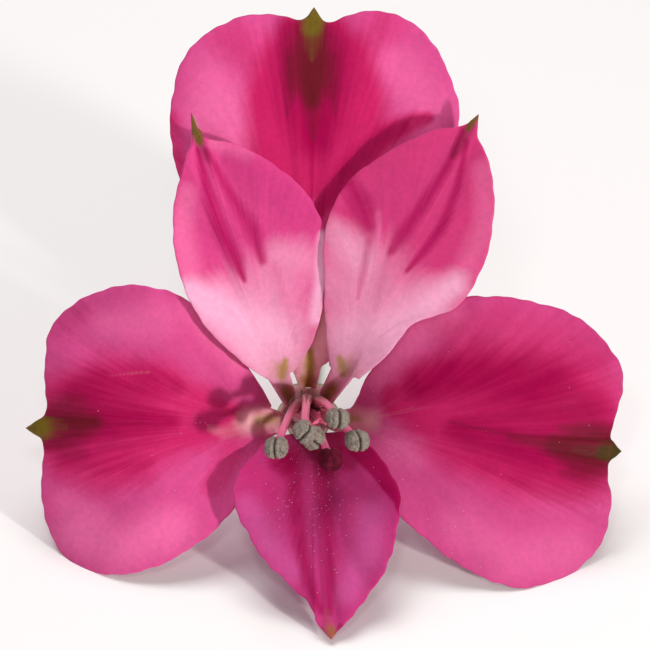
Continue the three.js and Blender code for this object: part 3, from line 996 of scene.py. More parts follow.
@dataclass(frozen=True)
class Tepal:
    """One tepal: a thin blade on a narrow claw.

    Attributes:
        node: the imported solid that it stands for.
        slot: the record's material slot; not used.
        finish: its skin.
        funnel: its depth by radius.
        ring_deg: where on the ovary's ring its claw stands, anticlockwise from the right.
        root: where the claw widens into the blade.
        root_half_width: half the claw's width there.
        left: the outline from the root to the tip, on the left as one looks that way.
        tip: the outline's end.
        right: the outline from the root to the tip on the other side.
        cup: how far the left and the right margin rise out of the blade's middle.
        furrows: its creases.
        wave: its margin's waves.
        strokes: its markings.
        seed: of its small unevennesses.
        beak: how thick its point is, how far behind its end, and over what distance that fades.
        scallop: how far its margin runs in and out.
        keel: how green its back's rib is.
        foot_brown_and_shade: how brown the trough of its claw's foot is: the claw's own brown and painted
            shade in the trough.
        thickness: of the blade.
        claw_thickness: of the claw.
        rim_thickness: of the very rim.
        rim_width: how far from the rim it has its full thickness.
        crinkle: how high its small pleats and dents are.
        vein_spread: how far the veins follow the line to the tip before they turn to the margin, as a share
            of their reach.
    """

    node: str
    slot: str
    finish: PetalFinish
    funnel: Funnel
    ring_deg: float
    root: Point
    root_half_width: float
    left: tuple[Point, ...]
    tip: Point
    right: tuple[Point, ...]
    cup: Point
    furrows: tuple[Furrow, ...]
    wave: Wave
    strokes: tuple[Stroke, ...]
    seed: int
    beak: Place = (0.6, 1.4, 1.2)
    scallop: float = 0.12
    keel: float = 0.8
    foot_brown_and_shade: float = 0.3
    thickness: float = 0.42
    claw_thickness: float = 0.62
    rim_thickness: float = 0.14
    rim_width: float = 0.7
    crinkle: float = 0.16
    vein_spread: float = 0.4

    @property
    def along(self) -> Array:
        """The direction from the root to the tip."""
        return unit(np.array(self.tip) - np.array(self.root))

    @property
    def across(self) -> Array:
        """The direction to the right of the line to the tip."""
        return np.array([self.along[1], -self.along[0]])

    @property
    def outwards(self) -> Array:
        """The direction from the flower's axis to the claw's foot."""
        angle = math.radians(self.ring_deg)
        return np.array([math.cos(angle), math.sin(angle)])

    def margin(self, column: Array) -> Array:
        """The blade's outline.

        Args:
            column: places on it, from -1 on the left over 0 at the tip to 1 on the right.

        Returns:
            u and v: two curves that meet at the tip in a point, scalloped by uneven waves square to them,
            which leave the tip and the ends on the claw plain.
        """
        eased = np.sign(column) * np.abs(column) ** TIP_CROWDING
        up = np.array([*self.left, self.tip])
        down = np.array([self.tip, *reversed(self.right)])
        rising = through(up, (1 + np.minimum(eased, 0)) * len(self.left))
        falling = through(down, np.maximum(eased, 0) * len(self.right))
        line = np.where(column[:, None] < 0, rising, falling)
        step = unit(np.gradient(line, axis=0))
        run = np.cumsum(np.linalg.norm(np.gradient(line, axis=0), axis=1))
        clear = smoothstep(np.abs(column), 0.06, 0.2) * smoothstep(1 - np.abs(column), 0.02, 0.15)
        waves = self.scallop * clear * ripples(run, SCALLOPS, self.seed)
        return line + waves[:, None] * np.stack([step[:, 1], -step[:, 0]], axis=1)

    def flat(self, column: Array) -> tuple[Array, Array, Array]:
        """Draws the tepal in the face plane.

        The claw runs straight from its foot to its top. Each vein of the blade is a quadratic curve that
        leaves the claw along the line to the tip and ends on the margin.

        Args:
            column: places from -1 to 1.

        Returns:
            u and v as rows by columns, and for each row its place on the claw and on the blade, 0 to 1.
        """
        outwards = self.outwards
        foot_across = np.array([outwards[1], -outwards[0]])
        foot = outwards * self.funnel.ring + CLAW_FOOT_HALF_WIDTH * column[:, None] * foot_across
        top = np.array(self.root) + self.root_half_width * column[:, None] * self.across
        end = self.margin(column)
        reach = np.linalg.norm(end - top, axis=1, keepdims=True)
        bend = top + self.vein_spread * reach * self.along
        claw = np.linspace(0, 1, CLAW_ROWS, endpoint=False)
        opened = 1 - (1 - np.linspace(0, 1, BLADE_ROWS)) ** ROW_CROWDING
        below = foot + (top - foot) * claw[:, None, None]
        t = opened[:, None, None]
        blade = top * (1 - t) ** 2 + 2 * bend * t * (1 - t) + end * t**2
        rows = np.concatenate([below, blade])
        return rows, np.r_[claw, np.ones(BLADE_ROWS)], np.r_[np.zeros(CLAW_ROWS), opened]

    def relief(self, half_width: float, sheet: Sheet) -> Array:
        """The cup, furrows and waves that the blade adds to its funnel.

        Args:
            half_width: the blade's greatest distance from the line to its tip.
            sheet: where its points lie.

        Returns:
            The rise of each point out of the face: the cup goes with the square of the share of the half
            width. Each furrow is a bell curve across the blade, deepest halfway along it. The waves grow with
            the cube of the way out, the pleats with its power 1.5, and dents lie all over the blade.
        """
        share = sheet.side / half_width
        opened, column = sheet.opened[:, None], sheet.column[None, :]
        belly = np.sin(math.pi * np.clip(sheet.forward, 0, FURROW_END)) ** 0.8
        height = np.where(share < 0, *self.cup) * share**2 * smoothstep(opened, 0.2, 1)
        for furrow in self.furrows:
            away = (sheet.side - furrow.at * half_width * belly) / furrow.width
            height = height - furrow.depth * belly * np.exp(-(away**2))
        clear = smoothstep(np.abs(column), 0, 0.4)
        wave = self.wave.height * np.sin(self.wave.count * math.pi * column + self.wave.phase)
        pleats = self.crinkle * ripples(column, PLEATS, self.seed + 1) * opened**1.5
        dents = self.crinkle * lumps(sheet.points[..., :2], DENT_SIZE, self.seed + 2)
        dents = dents * smoothstep(opened, 0, 0.4)
        return height + clear * (opened**3 * wave + PLEAT_SHARE * pleats) + DENT_SHARE * dents

    def sheet(self) -> Sheet:
        """Works out the middle surface.

        Returns:
            The sheet: the flat drawing, raised by the funnel's depth and the blade's relief, with the middle
            of the claw pushed outwards so that the claw is a trough.
        """
        even = np.linspace(-1, 1, BLADE_COLUMNS + 1)
        column = np.sign(even) * np.abs(even) ** COLUMN_EASE
        flat, claw, opened = self.flat(column)
        local = flat - np.array(self.root)
        length = math.dist(self.root, self.tip)
        points = np.concatenate([flat, np.zeros(flat.shape[:2] + (1,))], axis=-1)
        sheet = Sheet(points, opened, column, local @ self.along / length, local @ self.across, claw)
        outline = np.array([*self.left, self.tip, *self.right]) - np.array(self.root)
        half_width = float(np.max(np.abs(outline @ self.across)))
        depth = self.funnel.depth(np.linalg.norm(flat, axis=-1))
        points[..., 2] = depth + self.relief(half_width, sheet)
        hollow = CLAW_HOLLOW * (1 - column**2) * (1 - smoothstep(opened, 0, CLAW_END))[:, None]
        points[..., :2] += hollow[..., None] * self.outwards
        return sheet

    def half_thickness(self, sheet: Sheet) -> Array:
        """Half the blade's thickness.

        Args:
            sheet: the middle surface.

        Returns:
            For each point: the claw is thicker than the blade, the point swells round the place behind its
            end, and near the rim all of it rounds off as a quarter of an ellipse.
        """
        swell, behind, fade = self.beak
        to_tip = np.linalg.norm(sheet.points[..., :2] - np.array(self.tip), axis=-1)
        beak = swell * np.exp(-(((to_tip - behind) / fade) ** 2))
        slim = smoothstep(sheet.opened, 0, CLAW_END)[:, None]
        body = self.claw_thickness + (self.thickness - self.claw_thickness) * slim + beak
        inner = np.clip(sheet.to_rim() / self.rim_width, 0, 1)
        round_off = np.sqrt(1 - (1 - inner) ** 2)
        return 0.5 * (self.rim_thickness + (body - self.rim_thickness) * round_off)

    def sides(self, sheet: Sheet) -> tuple[Array, Array]:
        """The two faces of a sheet, half the thickness to each side: first the one that looks forward."""
        offset = sheet.normals() * self.half_thickness(sheet)[..., None]
        return sheet.points + offset, sheet.points - offset

    def marks(self, sheet: Sheet) -> dict[str, Array]:
        """Where each pigment lies, on the front and then on the back.

        Args:
            sheet: the middle surface.

        Returns:
            The layers of marks, three pigments each. To the strokes come the pale foot of the claw and its
            brown, which is strongest down the trough as painted shade, and on the back its silver and the
            green rib, a bell curve across it.
        """
        face = sheet.points[..., :2]
        cover = {pigment: np.zeros(face.shape[:2]) for pigment in Pigment}
        for stroke in self.strokes:
            cover[stroke.pigment] = 1 - (1 - cover[stroke.pigment]) * (1 - stroke.cover(face))
        claw = sheet.claw[:, None] * np.ones_like(face[..., 0])
        cover[Pigment.PALE] = np.maximum(cover[Pigment.PALE], CLAW_PALE * (1 - smoothstep(claw, 0.7, 1)))
        # painted shade: the foot's brown is strongest down the middle of the trough and fades towards the
        # rims
        trough = 1 - FOOT_PALE_RIM * np.abs(sheet.column) ** 3
        foot = self.foot_brown_and_shade * (1 - smoothstep(claw, 0.35, 0.95)) * trough
        cover[Pigment.CLAW] = np.maximum(cover[Pigment.CLAW], foot)
        rib = np.exp(-((sheet.side / RIB_WIDTH) ** 2)) * smoothstep(sheet.forward, 0.15, 0.95)
        behind = {pigment: BACK_PIGMENT * values for pigment, values in cover.items()}
        behind[Pigment.POINT] = np.maximum(cover[Pigment.POINT], self.keel * rib)
        behind[Pigment.BACK] = np.ones_like(rib)
        layers: dict[str, list[Array]] = {}
        for pigment in Pigment:
            both = np.concatenate([cover[pigment].ravel(), behind[pigment].ravel()])
            layers.setdefault(pigment.layer, []).append(both)
        return {name: np.stack(values, axis=1) for name, values in layers.items()}

    def build(self, material: bpy.types.Material) -> bpy.types.Object:
        """Builds the tepal.

        Args:
            material: its finish.

        Returns:
            The piece: the sheet's two sides, closed at the rim. Its uv is the column, and the way out.
        """
        sheet = self.sheet()
        points, faces = plate(*self.sides(sheet))
        down = sheet.opened + UV_CLAW * (sheet.claw - 1)
        uv = np.stack(np.broadcast_arrays(sheet.column[None, :] / 2 + 0.5, down[:, None]), axis=-1)
        uv = np.tile(uv.reshape(-1, 2), (2, 1))
        skin = Skin(FACE.placed(points), faces, uv, self.marks(sheet))
        return skin.piece(f"{self.node}_skin", self.node, material)


OUTER_RING = 2.95
INNER_RING = 2.6
GLOW, HEART, PALE, DEEP, FLAME, POINT, NECTAR = list(Pigment)[:7]

TEPALS = (
    Tepal(
        node="outer_tepal_top",
        slot="outer_tepal",
        finish=OUTER_FINISH,
        funnel=Funnel(OUTER_RING, 18.5, 5.5, curl=0.004, turn=20),
        ring_deg=90,
        root=(-0.2, 5.4),
        root_half_width=1.8,
        left=(
            (-2.3, 6.5), (-5.9, 11), (-12.5, 20.2), (-16.8, 31), (-17.5, 39.5), (-15, 46.6), (-9, 50.4),
            (-4, 50.9), (-0.8, 50.1),
        ),
        tip=(0.8, 51.8),
        right=(
            (2.4, 6.2), (8, 11.5), (14.6, 21), (18.2, 30), (19.4, 37), (18.7, 41.5), (15.7, 47.6), (11, 51),
            (6, 51), (2.4, 49.9),
        ),
        cup=(0.2, 0.8),
        furrows=(Furrow(0, 3.2, 0.8),),
        wave=Wave(0.5, 7, 0.4),
        strokes=(
            Stroke(GLOW, ((-11, 38.5, 3.6), (-8.8, 35.5, 3.4)), 1, 0.9),
            Stroke(GLOW, ((-12.5, 43.5, 2.4), (-13.5, 38, 2)), 0.5, 1),
            Stroke(GLOW, ((11.5, 44, 2.6), (15.5, 39, 3)), 0.6, 1),
            Stroke(HEART, ((-10, 47.5, 2.6), (-6, 45.5, 3)), 0.45, 1),
            # painted shade: stronger pink where the inner left tepal's shadow falls on the left margin
            Stroke(HEART, ((-17.8, 37, 1.6), (-17, 31, 1.8)), 0.6, 0.6),
            Stroke(HEART, ((10, 49.6, 2.4), (6.5, 46.5, 2.2)), 0.5, 1),
            Stroke(
                HEART,
                (
                    (0.8, 50, 2.6), (0.6, 47.3, 4.8), (0.7, 44.6, 5.9), (0.9, 42, 7.8), (1, 39.3, 8.9),
                    (0.9, 35, 8.4),
                ),
                1, 0.25,
            ),
            Stroke(HEART, ((0.9, 35, 8.2), (0.8, 27, 6.6), (0.6, 20, 4)), 0.5, 0.45),
            # painted shadow: heart pink and crimson band where the inner right tepal's shadow falls on this
            # tepal
            Stroke(
                HEART,
                (
                    (1.6, 25.6, 0.9), (3.2, 28.4, 1.1), (5.4, 31.6, 1.5), (9.4, 35, 1.7), (13.2, 36.9, 1.3),
                    (15.4, 37.6, 0.8),
                ),
                0.9, 0.6,
            ),
            Stroke(
                DEEP,
                ((1.6, 25.6, 0.8), (3.2, 28.4, 1), (5.4, 31.6, 1.4), (9.4, 35, 1.4), (12.4, 36.4, 0.8)),
                0.6, 0.8,
            ),
            Stroke(
                DEEP,
                (
                    (0.6, 50.2, 2.6), (0.6, 47.6, 4.2), (0.6, 45, 5.2), (0.6, 42, 5.2), (0.7, 38.5, 4.2),
                    (0.8, 35.4, 2.6),
                ),
                0.9, 0.8,
            ),
            Stroke(DEEP, ((0.8, 35, 2.8), (0.9, 31, 1.4), (0.8, 28, 0.5)), 0.25, 1),
            Stroke(DEEP, ((0.4, 37, 0.4), (0.5, 31, 0.3), (0.5, 27, 0.15)), 0.4, 1),
            Stroke(
                FLAME,
                (
                    (0.5, 49.8, 1.8), (0.5, 48, 2.6), (0.45, 46, 2.9), (0.4, 44, 2.7), (0.4, 42, 2),
                    (0.5, 40, 1.1),
                ),
                0.95, 1,
            ),
            Stroke(FLAME, ((-1.8, 45, 1), (-2.3, 41.5, 0.9), (-2.6, 38, 0.3)), 0.42, 1),
            Stroke(FLAME, ((2.6, 45, 1), (3.2, 41.5, 0.9), (3.6, 38, 0.3)), 0.42, 1),
            Stroke(FLAME, ((0.5, 42, 2), (0.6, 38.5, 1.4), (0.7, 35, 0.5)), 0.45, 1),
            Stroke(POINT, ((0.4, 49, 1.4), (0.45, 47, 1), (0.5, 45, 0.4)), 0.42, 1),
            Stroke(POINT, ((0.8, 51.8, 1.1), (0.6, 50.4, 1.4), (0.45, 49.2, 1.1)), 1, 0.7),
            # the pale base, spread wide and strong as painted light where the inner tepals shade it
            Stroke(PALE, ((1.2, 16, 1.8), (0.8, 10.5, 3), (0.3, 5, 2)), 1, 0.8),
            Stroke(NECTAR, ((0.3, 8, 0.5), (0.3, 6, 0.8), (0.3, 4.6, 0.6)), 1, 0.8),
        ),
        seed=11,
        beak=(0.7, 1.6, 1.4),
        foot_brown_and_shade=1.0,
    ),
    Tepal(
        node="outer_tepal_left",
        slot="outer_tepal",
        finish=OUTER_FINISH,
        funnel=Funnel(OUTER_RING, 18.5, 5.5, curl=0.0245, turn=18),
        ring_deg=203,
        root=(-4.7, -1.4),
        root_half_width=1.8,
        left=(
            (-4.2, -3.6), (-7.8, -10.3), (-12.5, -15.6), (-18.5, -19.4), (-24.9, -20.9), (-30.4, -19.5),
            (-33.4, -14.6), (-34.2, -9), (-34, -3.7),
        ),
        tip=(-36.2, -2.1),
        right=(
            (-4.7, 0.8), (-6.7, 4.3), (-12.6, 12.1), (-17.5, 15.3), (-23.1, 16.2), (-29.9, 13.9),
            (-33.2, 10), (-33.7, 4.5), (-33.7, -0.3),
        ),
        cup=(1.2, 1.2),
        furrows=(Furrow(0, 3, 0.7),),
        wave=Wave(0.6, 6, 1.1),
        strokes=(
            Stroke(GLOW, ((-29.5, -15.5, 2.6), (-24, -17.4, 3), (-17.5, -15, 2.8)), 0.9, 0.9),
            Stroke(GLOW, ((-31, -11.5, 1.6), (-27.5, -13.5, 1.8)), 0.5, 1),
            Stroke(GLOW, ((-25.5, 11.2, 2), (-19, 12, 2.6)), 0.6, 0.9),
            # painted light: lighter pink where the inner left tepal's shadow falls
            Stroke(GLOW, ((-14.5, 13.4, 1.6), (-11.4, 9.6, 2), (-8.8, 6.4, 1.8)), 0.9, 1),
            Stroke(DEEP, ((-32, 10.5, 1.6), (-29, 13, 1.6)), 0.25, 0.9),
            Stroke(
                HEART,
                (
                    (-34, -2.4, 1.6), (-31.8, -2, 4.4), (-29.4, -1.2, 6.6), (-25, -0.6, 7.8), (-20, -0.1, 7),
                    (-15, -0.6, 4.8), (-10, -1.2, 2.4),
                ),
                0.85, 0.35,
            ),
            Stroke(HEART, ((-31, -7, 2.4), (-26, -8.6, 2.4), (-21, -7.6, 2)), 0.6, 0.8),
            # painted shadow: stronger pink where the lower inner tepal's shadow falls
            Stroke(HEART, ((-12.4, -9.6, 1.4), (-9.8, -5, 1.6)), 0.55, 0.8),
            Stroke(DEEP, ((-29.6, 2.2, 1.8), (-26.5, 3.6, 2.3), (-22, 4.2, 2.3), (-17, 3.2, 1.3)), 0.55, 0.8),
            Stroke(
                DEEP,
                ((-34, -2, 1.8), (-31.6, -1.9, 3.6), (-27, -1.3, 4.2), (-22, -1, 3), (-17.5, -1.2, 1.2)),
                0.8, 0.9,
            ),
            Stroke(DEEP, ((-31, -6.6, 1), (-26, -7.2, 1.1), (-20, -6.4, 0.8)), 0.3, 1),
            # painted light: a pale wash over the inner left tepal's shadow
            Stroke(PALE, ((-13, 11.8, 0.8), (-9.2, 7, 1)), 0.15, 1),
            Stroke(PALE, ((-25.2, 4.6, 0.12), (-22.6, 4.9, 0.2), (-20, 5.1, 0.12)), 0.26, 1),
            # painted highlight: a pale streak for the lit ridge of a wrinkle by the base
            Stroke(PALE, ((-12.6, -2.2, 0.5), (-10.8, -2.8, 0.9), (-8.6, -2.2, 1.2)), 0.26, 1),
            Stroke(
                FLAME,
                (
                    (-34.8, -2.1, 1.4), (-33.2, -1.9, 2.5), (-31.2, -1.7, 2.8), (-29.4, -1.5, 2.2),
                    (-27.4, -1.4, 1.1),
                ),
                0.82, 1,
            ),
            Stroke(FLAME, ((-33, 0.2, 0.8), (-31, 1.3, 1.2), (-28.4, 1.8, 0.8)), 0.2, 1),
            Stroke(FLAME, ((-33.2, -4.4, 0.9), (-31.2, -5.2, 1.1), (-28.6, -5.4, 0.8)), 0.25, 1),
            Stroke(FLAME, ((-28, -1.6, 1.4), (-24.6, -1.5, 1), (-21, -1.4, 0.5)), 0.2, 1),
            Stroke(POINT, ((-34, -2.2, 1.7), (-32.6, -2.2, 1.4), (-31, -2.1, 0.6)), 0.34, 1),
            Stroke(POINT, ((-36, -2.1, 1.2), (-35, -2.2, 1.6), (-34.2, -2.2, 1.3)), 1, 0.9),
            # the pale base, made strong as painted light over the anthers' shadows
            Stroke(PALE, ((-7.6, -1.2, 1.4), (-4.8, -1.1, 1.6)), 0.95, 1),
            Stroke(NECTAR, ((-6.3, -1.2, 0.8), (-4.9, -1, 0.7)), 0.75, 1),
        ),
        seed=23,
        beak=(0.8, 1.6, 1.6),
    ),
    Tepal(
        node="outer_tepal_right",
        slot="outer_tepal",
        finish=SHADED_RIGHT_OUTER_FINISH,
        funnel=Funnel(OUTER_RING, 18.5, 5.5, curl=0.014, turn=20),
        ring_deg=337,
        root=(5.2, -1.4),
        root_half_width=1.8,
        left=(
            (6, 0.5), (7.5, 4.3), (13, 11.9), (19.5, 14.6), (27.1, 14.4), (34.3, 12.2), (39.4, 7.2),
            (40.4, 3.4), (38.9, -3.4),
        ),
        tip=(40.2, -5.1),
        right=(
            (4.4, -3.4), (9.9, -11.3), (16.4, -17.4), (22, -21), (27.2, -22.5), (33.2, -21), (37.6, -16.9),
            (38.8, -12), (38.6, -6.7),
        ),
        cup=(1.2, 1.2),
        furrows=(Furrow(0, 3, 0.7),),
        wave=Wave(0.6, 6, 2.3),
        strokes=(
            Stroke(GLOW, ((19, -14.5, 2.4), (25.5, -19, 3), (33.5, -18, 2.8)), 0.6, 0.9),
            # painted light: lighter pink where the inner right tepal's shadow falls on the upper lobe
            Stroke(GLOW, ((8.6, 4.6, 1.4), (12.6, 9.4, 2), (18.4, 12.2, 1.8)), 0.9, 1),
            Stroke(GLOW, ((8.5, -3.5, 1.6), (13, -5.5, 2)), 0.6, 1),
            Stroke(HEART, ((19, 9.5, 3), (25, 10.5, 4), (33, 8.5, 4), (36.8, 6.6, 3)), 0.55, 1),
            Stroke(
                HEART,
                (
                    (38.6, -4.8, 2.6), (36.7, -3.8, 5.8), (33, -2.6, 8.6), (28, -1.6, 9.6), (22, -0.4, 8.4),
                    (16.4, 1.6, 5.6), (12, 1.4, 2.6),
                ),
                0.95, 0.35,
            ),
            Stroke(
                DEEP,
                ((14.5, 3.4, 2.2), (18.5, 4.8, 3), (24, 4.6, 3.8), (30, 2.8, 4), (34.6, -0.6, 3.6)),
                0.85, 0.8,
            ),
            Stroke(
                DEEP,
                ((38.6, -5, 2.8), (34.4, -5, 5), (29, -4.4, 4.6), (24, -3.4, 3.2), (19, -2.4, 1.6)),
                0.8, 0.9,
            ),
            Stroke(PALE, ((8, -0.8, 0.5), (12.5, 0.2, 0.5), (18, 0.8, 0.15)), 0.1, 1),
            Stroke(PALE, ((8, -1.6, 0.5), (12.6, -2.8, 0.5), (18.5, -5, 0.15)), 0.1, 1),
            Stroke(PALE, ((8, -2.2, 0.5), (11.6, -4.6, 0.5), (15.5, -8, 0.15)), 0.1, 1),
            Stroke(PALE, ((8, -0.2, 0.5), (12, 1.8, 0.4), (16, 3.4, 0.15)), 0.08, 1),
            Stroke(
                FLAME,
                ((39.6, -5, 1.5), (38.6, -5.1, 2.9), (36.8, -5, 3.2), (34.6, -4.9, 2.4), (31.6, -4.4, 1.2)),
                0.95, 1,
            ),
            Stroke(FLAME, ((38, -3.2, 1), (35, -2.2, 0.9), (31.4, -1.6, 0.3)), 0.36, 1),
            Stroke(FLAME, ((38, -6.9, 1), (35.4, -7.6, 0.9), (32.4, -8, 0.5)), 0.28, 1),
            Stroke(FLAME, ((35, -4.8, 1.6), (31, -4.2, 1.3), (26, -3.3, 0.5)), 0.42, 1),
            Stroke(FLAME, ((30, -3.9, 0.5), (24, -2.6, 0.35), (18, -1.2, 0.2)), 0.35, 1),
            Stroke(POINT, ((37.8, -5.1, 1.3), (36, -4.9, 1.1), (34, -4.7, 0.4)), 0.35, 1),
            Stroke(POINT, ((40.2, -5.1, 1), (39.2, -5.3, 1.3), (38, -5.2, 1)), 1, 0.8),
            Stroke(PALE, ((5, -0.8, 1.6), (8, -1.2, 1.2)), 0.8, 1),
            Stroke(NECTAR, ((5.5, -0.9, 0.6), (6.6, -0.9, 0.5)), 0.75, 1),
        ),
        seed=37,
        beak=(0.7, 1.4, 1.4),
    ),
    Tepal(
        node="inner_tepal_left",
        slot="upper_inner_tepal",
        finish=UPPER_FINISH,
        funnel=Funnel(INNER_RING, 20, 4, curl=-0.007, turn=26),
        ring_deg=147,
        root=(-3.6, 4.4),
        root_half_width=1.35,
        left=((-5.2, 4.2), (-7.6, 5.7), (-14, 12.2), (-16.9, 20), (-17.1, 26), (-15.9, 31.5), (-14.9, 34.4)),
        tip=(-14.9, 38.3),
        right=(
            (-1.8, 5.2), (0.8, 9.4), (2.2, 15.5), (2.6, 20.6), (0.4, 27.2), (-4.4, 31.6), (-9, 34.1),
            (-13.2, 35.1),
        ),
        cup=(1.5, -0.25),
        furrows=(Furrow(-0.2, 0.9, 0.15), Furrow(0.22, 1.1, 0.15)),
        wave=Wave(0.35, 5, 0.2),
        strokes=(
            Stroke(GLOW, ((-15.4, 28, 1.2), (-16.2, 23, 1.6), (-15.4, 18.5, 1.8)), 0.7, 0.9),
            Stroke(GLOW, ((-12, 34.3, 0.8), (-8, 32.6, 1)), 0.6, 0.9),
            Stroke(HEART, ((-10, 32, 1.4), (-5, 29, 2.4), (-1, 25.5, 2.4)), 0.7, 0.8),
            Stroke(
                DEEP,
                (
                    (-14.1, 33.5, 0.4), (-12.9, 28.5, 0.7), (-11.2, 23.4, 1.1), (-9.2, 19.6, 1),
                    (-8.1, 16.8, 0.3),
                ),
                0.85, 1,
            ),
            Stroke(DEEP, ((-13, 33.4, 0.4), (-9.8, 27.6, 0.7), (-7, 22.9, 1.2), (-5.8, 19.4, 0.6)), 0.75, 1),
            Stroke(PALE, ((-15, 15.4, 1.6), (-12, 13.4, 2.8), (-8, 10.4, 3.2), (-4.6, 6.4, 2.8)), 1, 1),
            Stroke(PALE, ((-3.6, 20.4, 1.6), (-1, 20, 2.2), (1.8, 19, 2)), 0.35, 1),
            Stroke(PALE, ((-5, 14.5, 5.4), (-3.5, 9, 5), (-2.8, 4, 4)), 0.55, 1),
            # painted light: a paler strip along the right margin, where the inner right tepal's shadow falls
            Stroke(PALE, ((1.9, 22.5, 0.6), (1.7, 17, 0.7), (1, 12, 0.8)), 0.9, 1),
            Stroke(PALE, ((-3.6, 9.4, 2.6), (-3.4, 5, 2.6)), 0.8, 1),
            Stroke(DEEP, ((-4.2, 18.8, 0.7), (-2.6, 13.5, 0.8), (-1.6, 9, 0.4)), 0.2, 1),
            Stroke(FLAME, ((-13.8, 34.4, 0.8), (-12.8, 32.4, 0.6)), 0.4, 1),
            Stroke(
                POINT,
                ((-15, 38.3, 0.5), (-14.6, 36.4, 0.55), (-14, 34.9, 0.55), (-13.7, 34.2, 0.3)),
                0.95, 0.5,
            ),
            Stroke(NECTAR, ((-4.4, 5.9, 0.9), (-4.6, 4.8, 0.7)), 0.3, 1),
            Stroke(NECTAR, ((-2.9, 6.7, 0.4), (-3.2, 5.8, 0.7), (-3.5, 4.8, 0.6)), 0.9, 1),
        ),
        seed=41,
        foot_brown_and_shade=1.0,
        beak=(0.45, 2.2, 1.8),
        scallop=0.08,
        keel=0.4,
    ),
    Tepal(
        node="inner_tepal_right",
        slot="upper_inner_tepal",
        finish=SHADED_RIGHT_UPPER_FINISH,
        funnel=Funnel(INNER_RING, 20.3, 4, curl=-0.007, turn=26),
        ring_deg=35,
        root=(4.2, 4.7),
        root_half_width=1.45,
        left=(
            (2.8, 5.9), (2.4, 9.5), (2.1, 16.2), (2.3, 23.5), (4.6, 28.7), (9.4, 32.7), (16.4, 36),
            (19.9, 36.6),
        ),
        tip=(21.8, 38),
        right=(
            (6.6, 4.2), (9.8, 6.9), (13.5, 11.2), (19.2, 13.6), (22.5, 19), (23.8, 26), (23.1, 31.9),
            (21.7, 35.4),
        ),
        cup=(0, 1.4),
        furrows=(Furrow(-0.2, 1.1, 0.18), Furrow(0.2, 0.9, 0.18)),
        wave=Wave(0.35, 5, 1.5),
        strokes=(
            Stroke(GLOW, ((22.4, 31, 1.2), (22.8, 24, 1.6), (20.5, 18.5, 1.6)), 0.6, 0.9),
            Stroke(GLOW, ((9, 25.4, 0.4), (9.1, 20.5, 0.5)), 0.6, 1),
            Stroke(HEART, ((17.4, 33, 1.4), (15, 29, 2.6), (11, 27, 2.6)), 0.35, 1),
            Stroke(
                DEEP,
                ((19.8, 36, 0.4), (18, 31.6, 0.6), (14.6, 26.2, 0.9), (12, 22.6, 1), (10.6, 20.4, 0.5)),
                0.75, 0.9,
            ),
            Stroke(
                DEEP,
                ((20.2, 34.6, 0.4), (19.2, 28.8, 0.6), (17, 23.4, 0.9), (14.2, 19.8, 0.6), (12.6, 18, 0.3)),
                0.75, 0.9,
            ),
            Stroke(DEEP, ((5.3, 29, 1.2), (6.6, 26.6, 1.7), (7.7, 23.8, 1.1)), 0.75, 1),
            Stroke(PALE, ((3, 23.4, 1.4), (5.2, 21.4, 1.9), (7.2, 19.6, 1.6)), 0.5, 1),
            Stroke(PALE, ((18.8, 16.2, 1.7), (15.6, 13.6, 2.8), (11, 10, 3.2), (6.4, 6, 3)), 0.95, 1),
            Stroke(PALE, ((6.5, 15.6, 6), (6, 9, 5.2), (5, 4, 4)), 0.62, 1),
            Stroke(PALE, ((4.8, 9.4, 2.4), (4.8, 5, 2.4)), 0.7, 1),
            Stroke(DEEP, ((7.8, 21.8, 0.5), (7.2, 18.6, 0.6), (6.4, 14.6, 0.3)), 0.45, 1),
            Stroke(DEEP, ((10.2, 19.4, 0.6), (8.6, 13, 0.5)), 0.2, 1),
            Stroke(FLAME, ((20.8, 36.6, 0.5), (19.6, 34.6, 0.7), (18.6, 32.6, 0.4)), 0.55, 1),
            Stroke(POINT, ((21.8, 38, 0.4), (21, 36.9, 0.45), (20.4, 36, 0.25)), 0.9, 0.7),
            Stroke(NECTAR, ((5.4, 6.4, 0.9), (5.8, 5.2, 0.7)), 0.3, 1),
            Stroke(NECTAR, ((4.1, 7, 0.4), (4.5, 6, 0.7), (4.8, 5, 0.5)), 0.85, 1),
        ),
        seed=53,
        foot_brown_and_shade=1.0,
        vein_spread=0.66,
        beak=(0.4, 1.4, 1.2),
        scallop=0.08,
        keel=0.4,
    ),
    Tepal(
        node="inner_tepal_lower",
        slot="lower_inner_tepal",
        finish=LOWER_FINISH,
        funnel=Funnel(INNER_RING, 18, 4.5, slope=0.35),
        ring_deg=270,
        root=(0.5, -3.1),
        root_half_width=1.5,
        left=(
            (2.3, -2.8), (5.9, -2.8), (9.6, -6.1), (11.8, -11), (11.3, -15.5), (10.2, -19.3), (7.6, -23.6),
            (4.6, -27),
        ),
        tip=(3, -28.9),
        right=(
            (-1.3, -2.8), (-5, -3.7), (-8.4, -7.2), (-9.5, -11), (-7.4, -16), (-4.5, -20), (0.3, -24.6),
            (1.4, -27.2),
        ),
        cup=(0.45, 0.3),
        furrows=(Furrow(-0.14, 1.2, 0.32), Furrow(0.14, 1.2, 0.32)),
        wave=Wave(0.4, 8, 0.9),
        strokes=(
            Stroke(GLOW, ((8.2, -13, 1.8), (7.5, -18, 2), (5.2, -23, 1.6)), 0.55, 1),
            Stroke(GLOW, ((-7.6, -12, 1.6), (-5.6, -16, 1.8), (-2, -20.5, 1.4)), 0.5, 1),
            Stroke(HEART, ((-7.5, -8, 2), (-5, -10, 2.4)), 0.5, 1),
            # painted shade: a crimson band along the right margin, with a crisp inner edge, standing in for
            # its shadow
            Stroke(
                DEEP,
                ((6.6, -4.8, 1.3), (9.6, -7.7, 1.4), (12.2, -11, 1.3), (13.4, -14.5, 1.1)),
                0.95, 0.25,
            ),
            Stroke(
                DEEP,
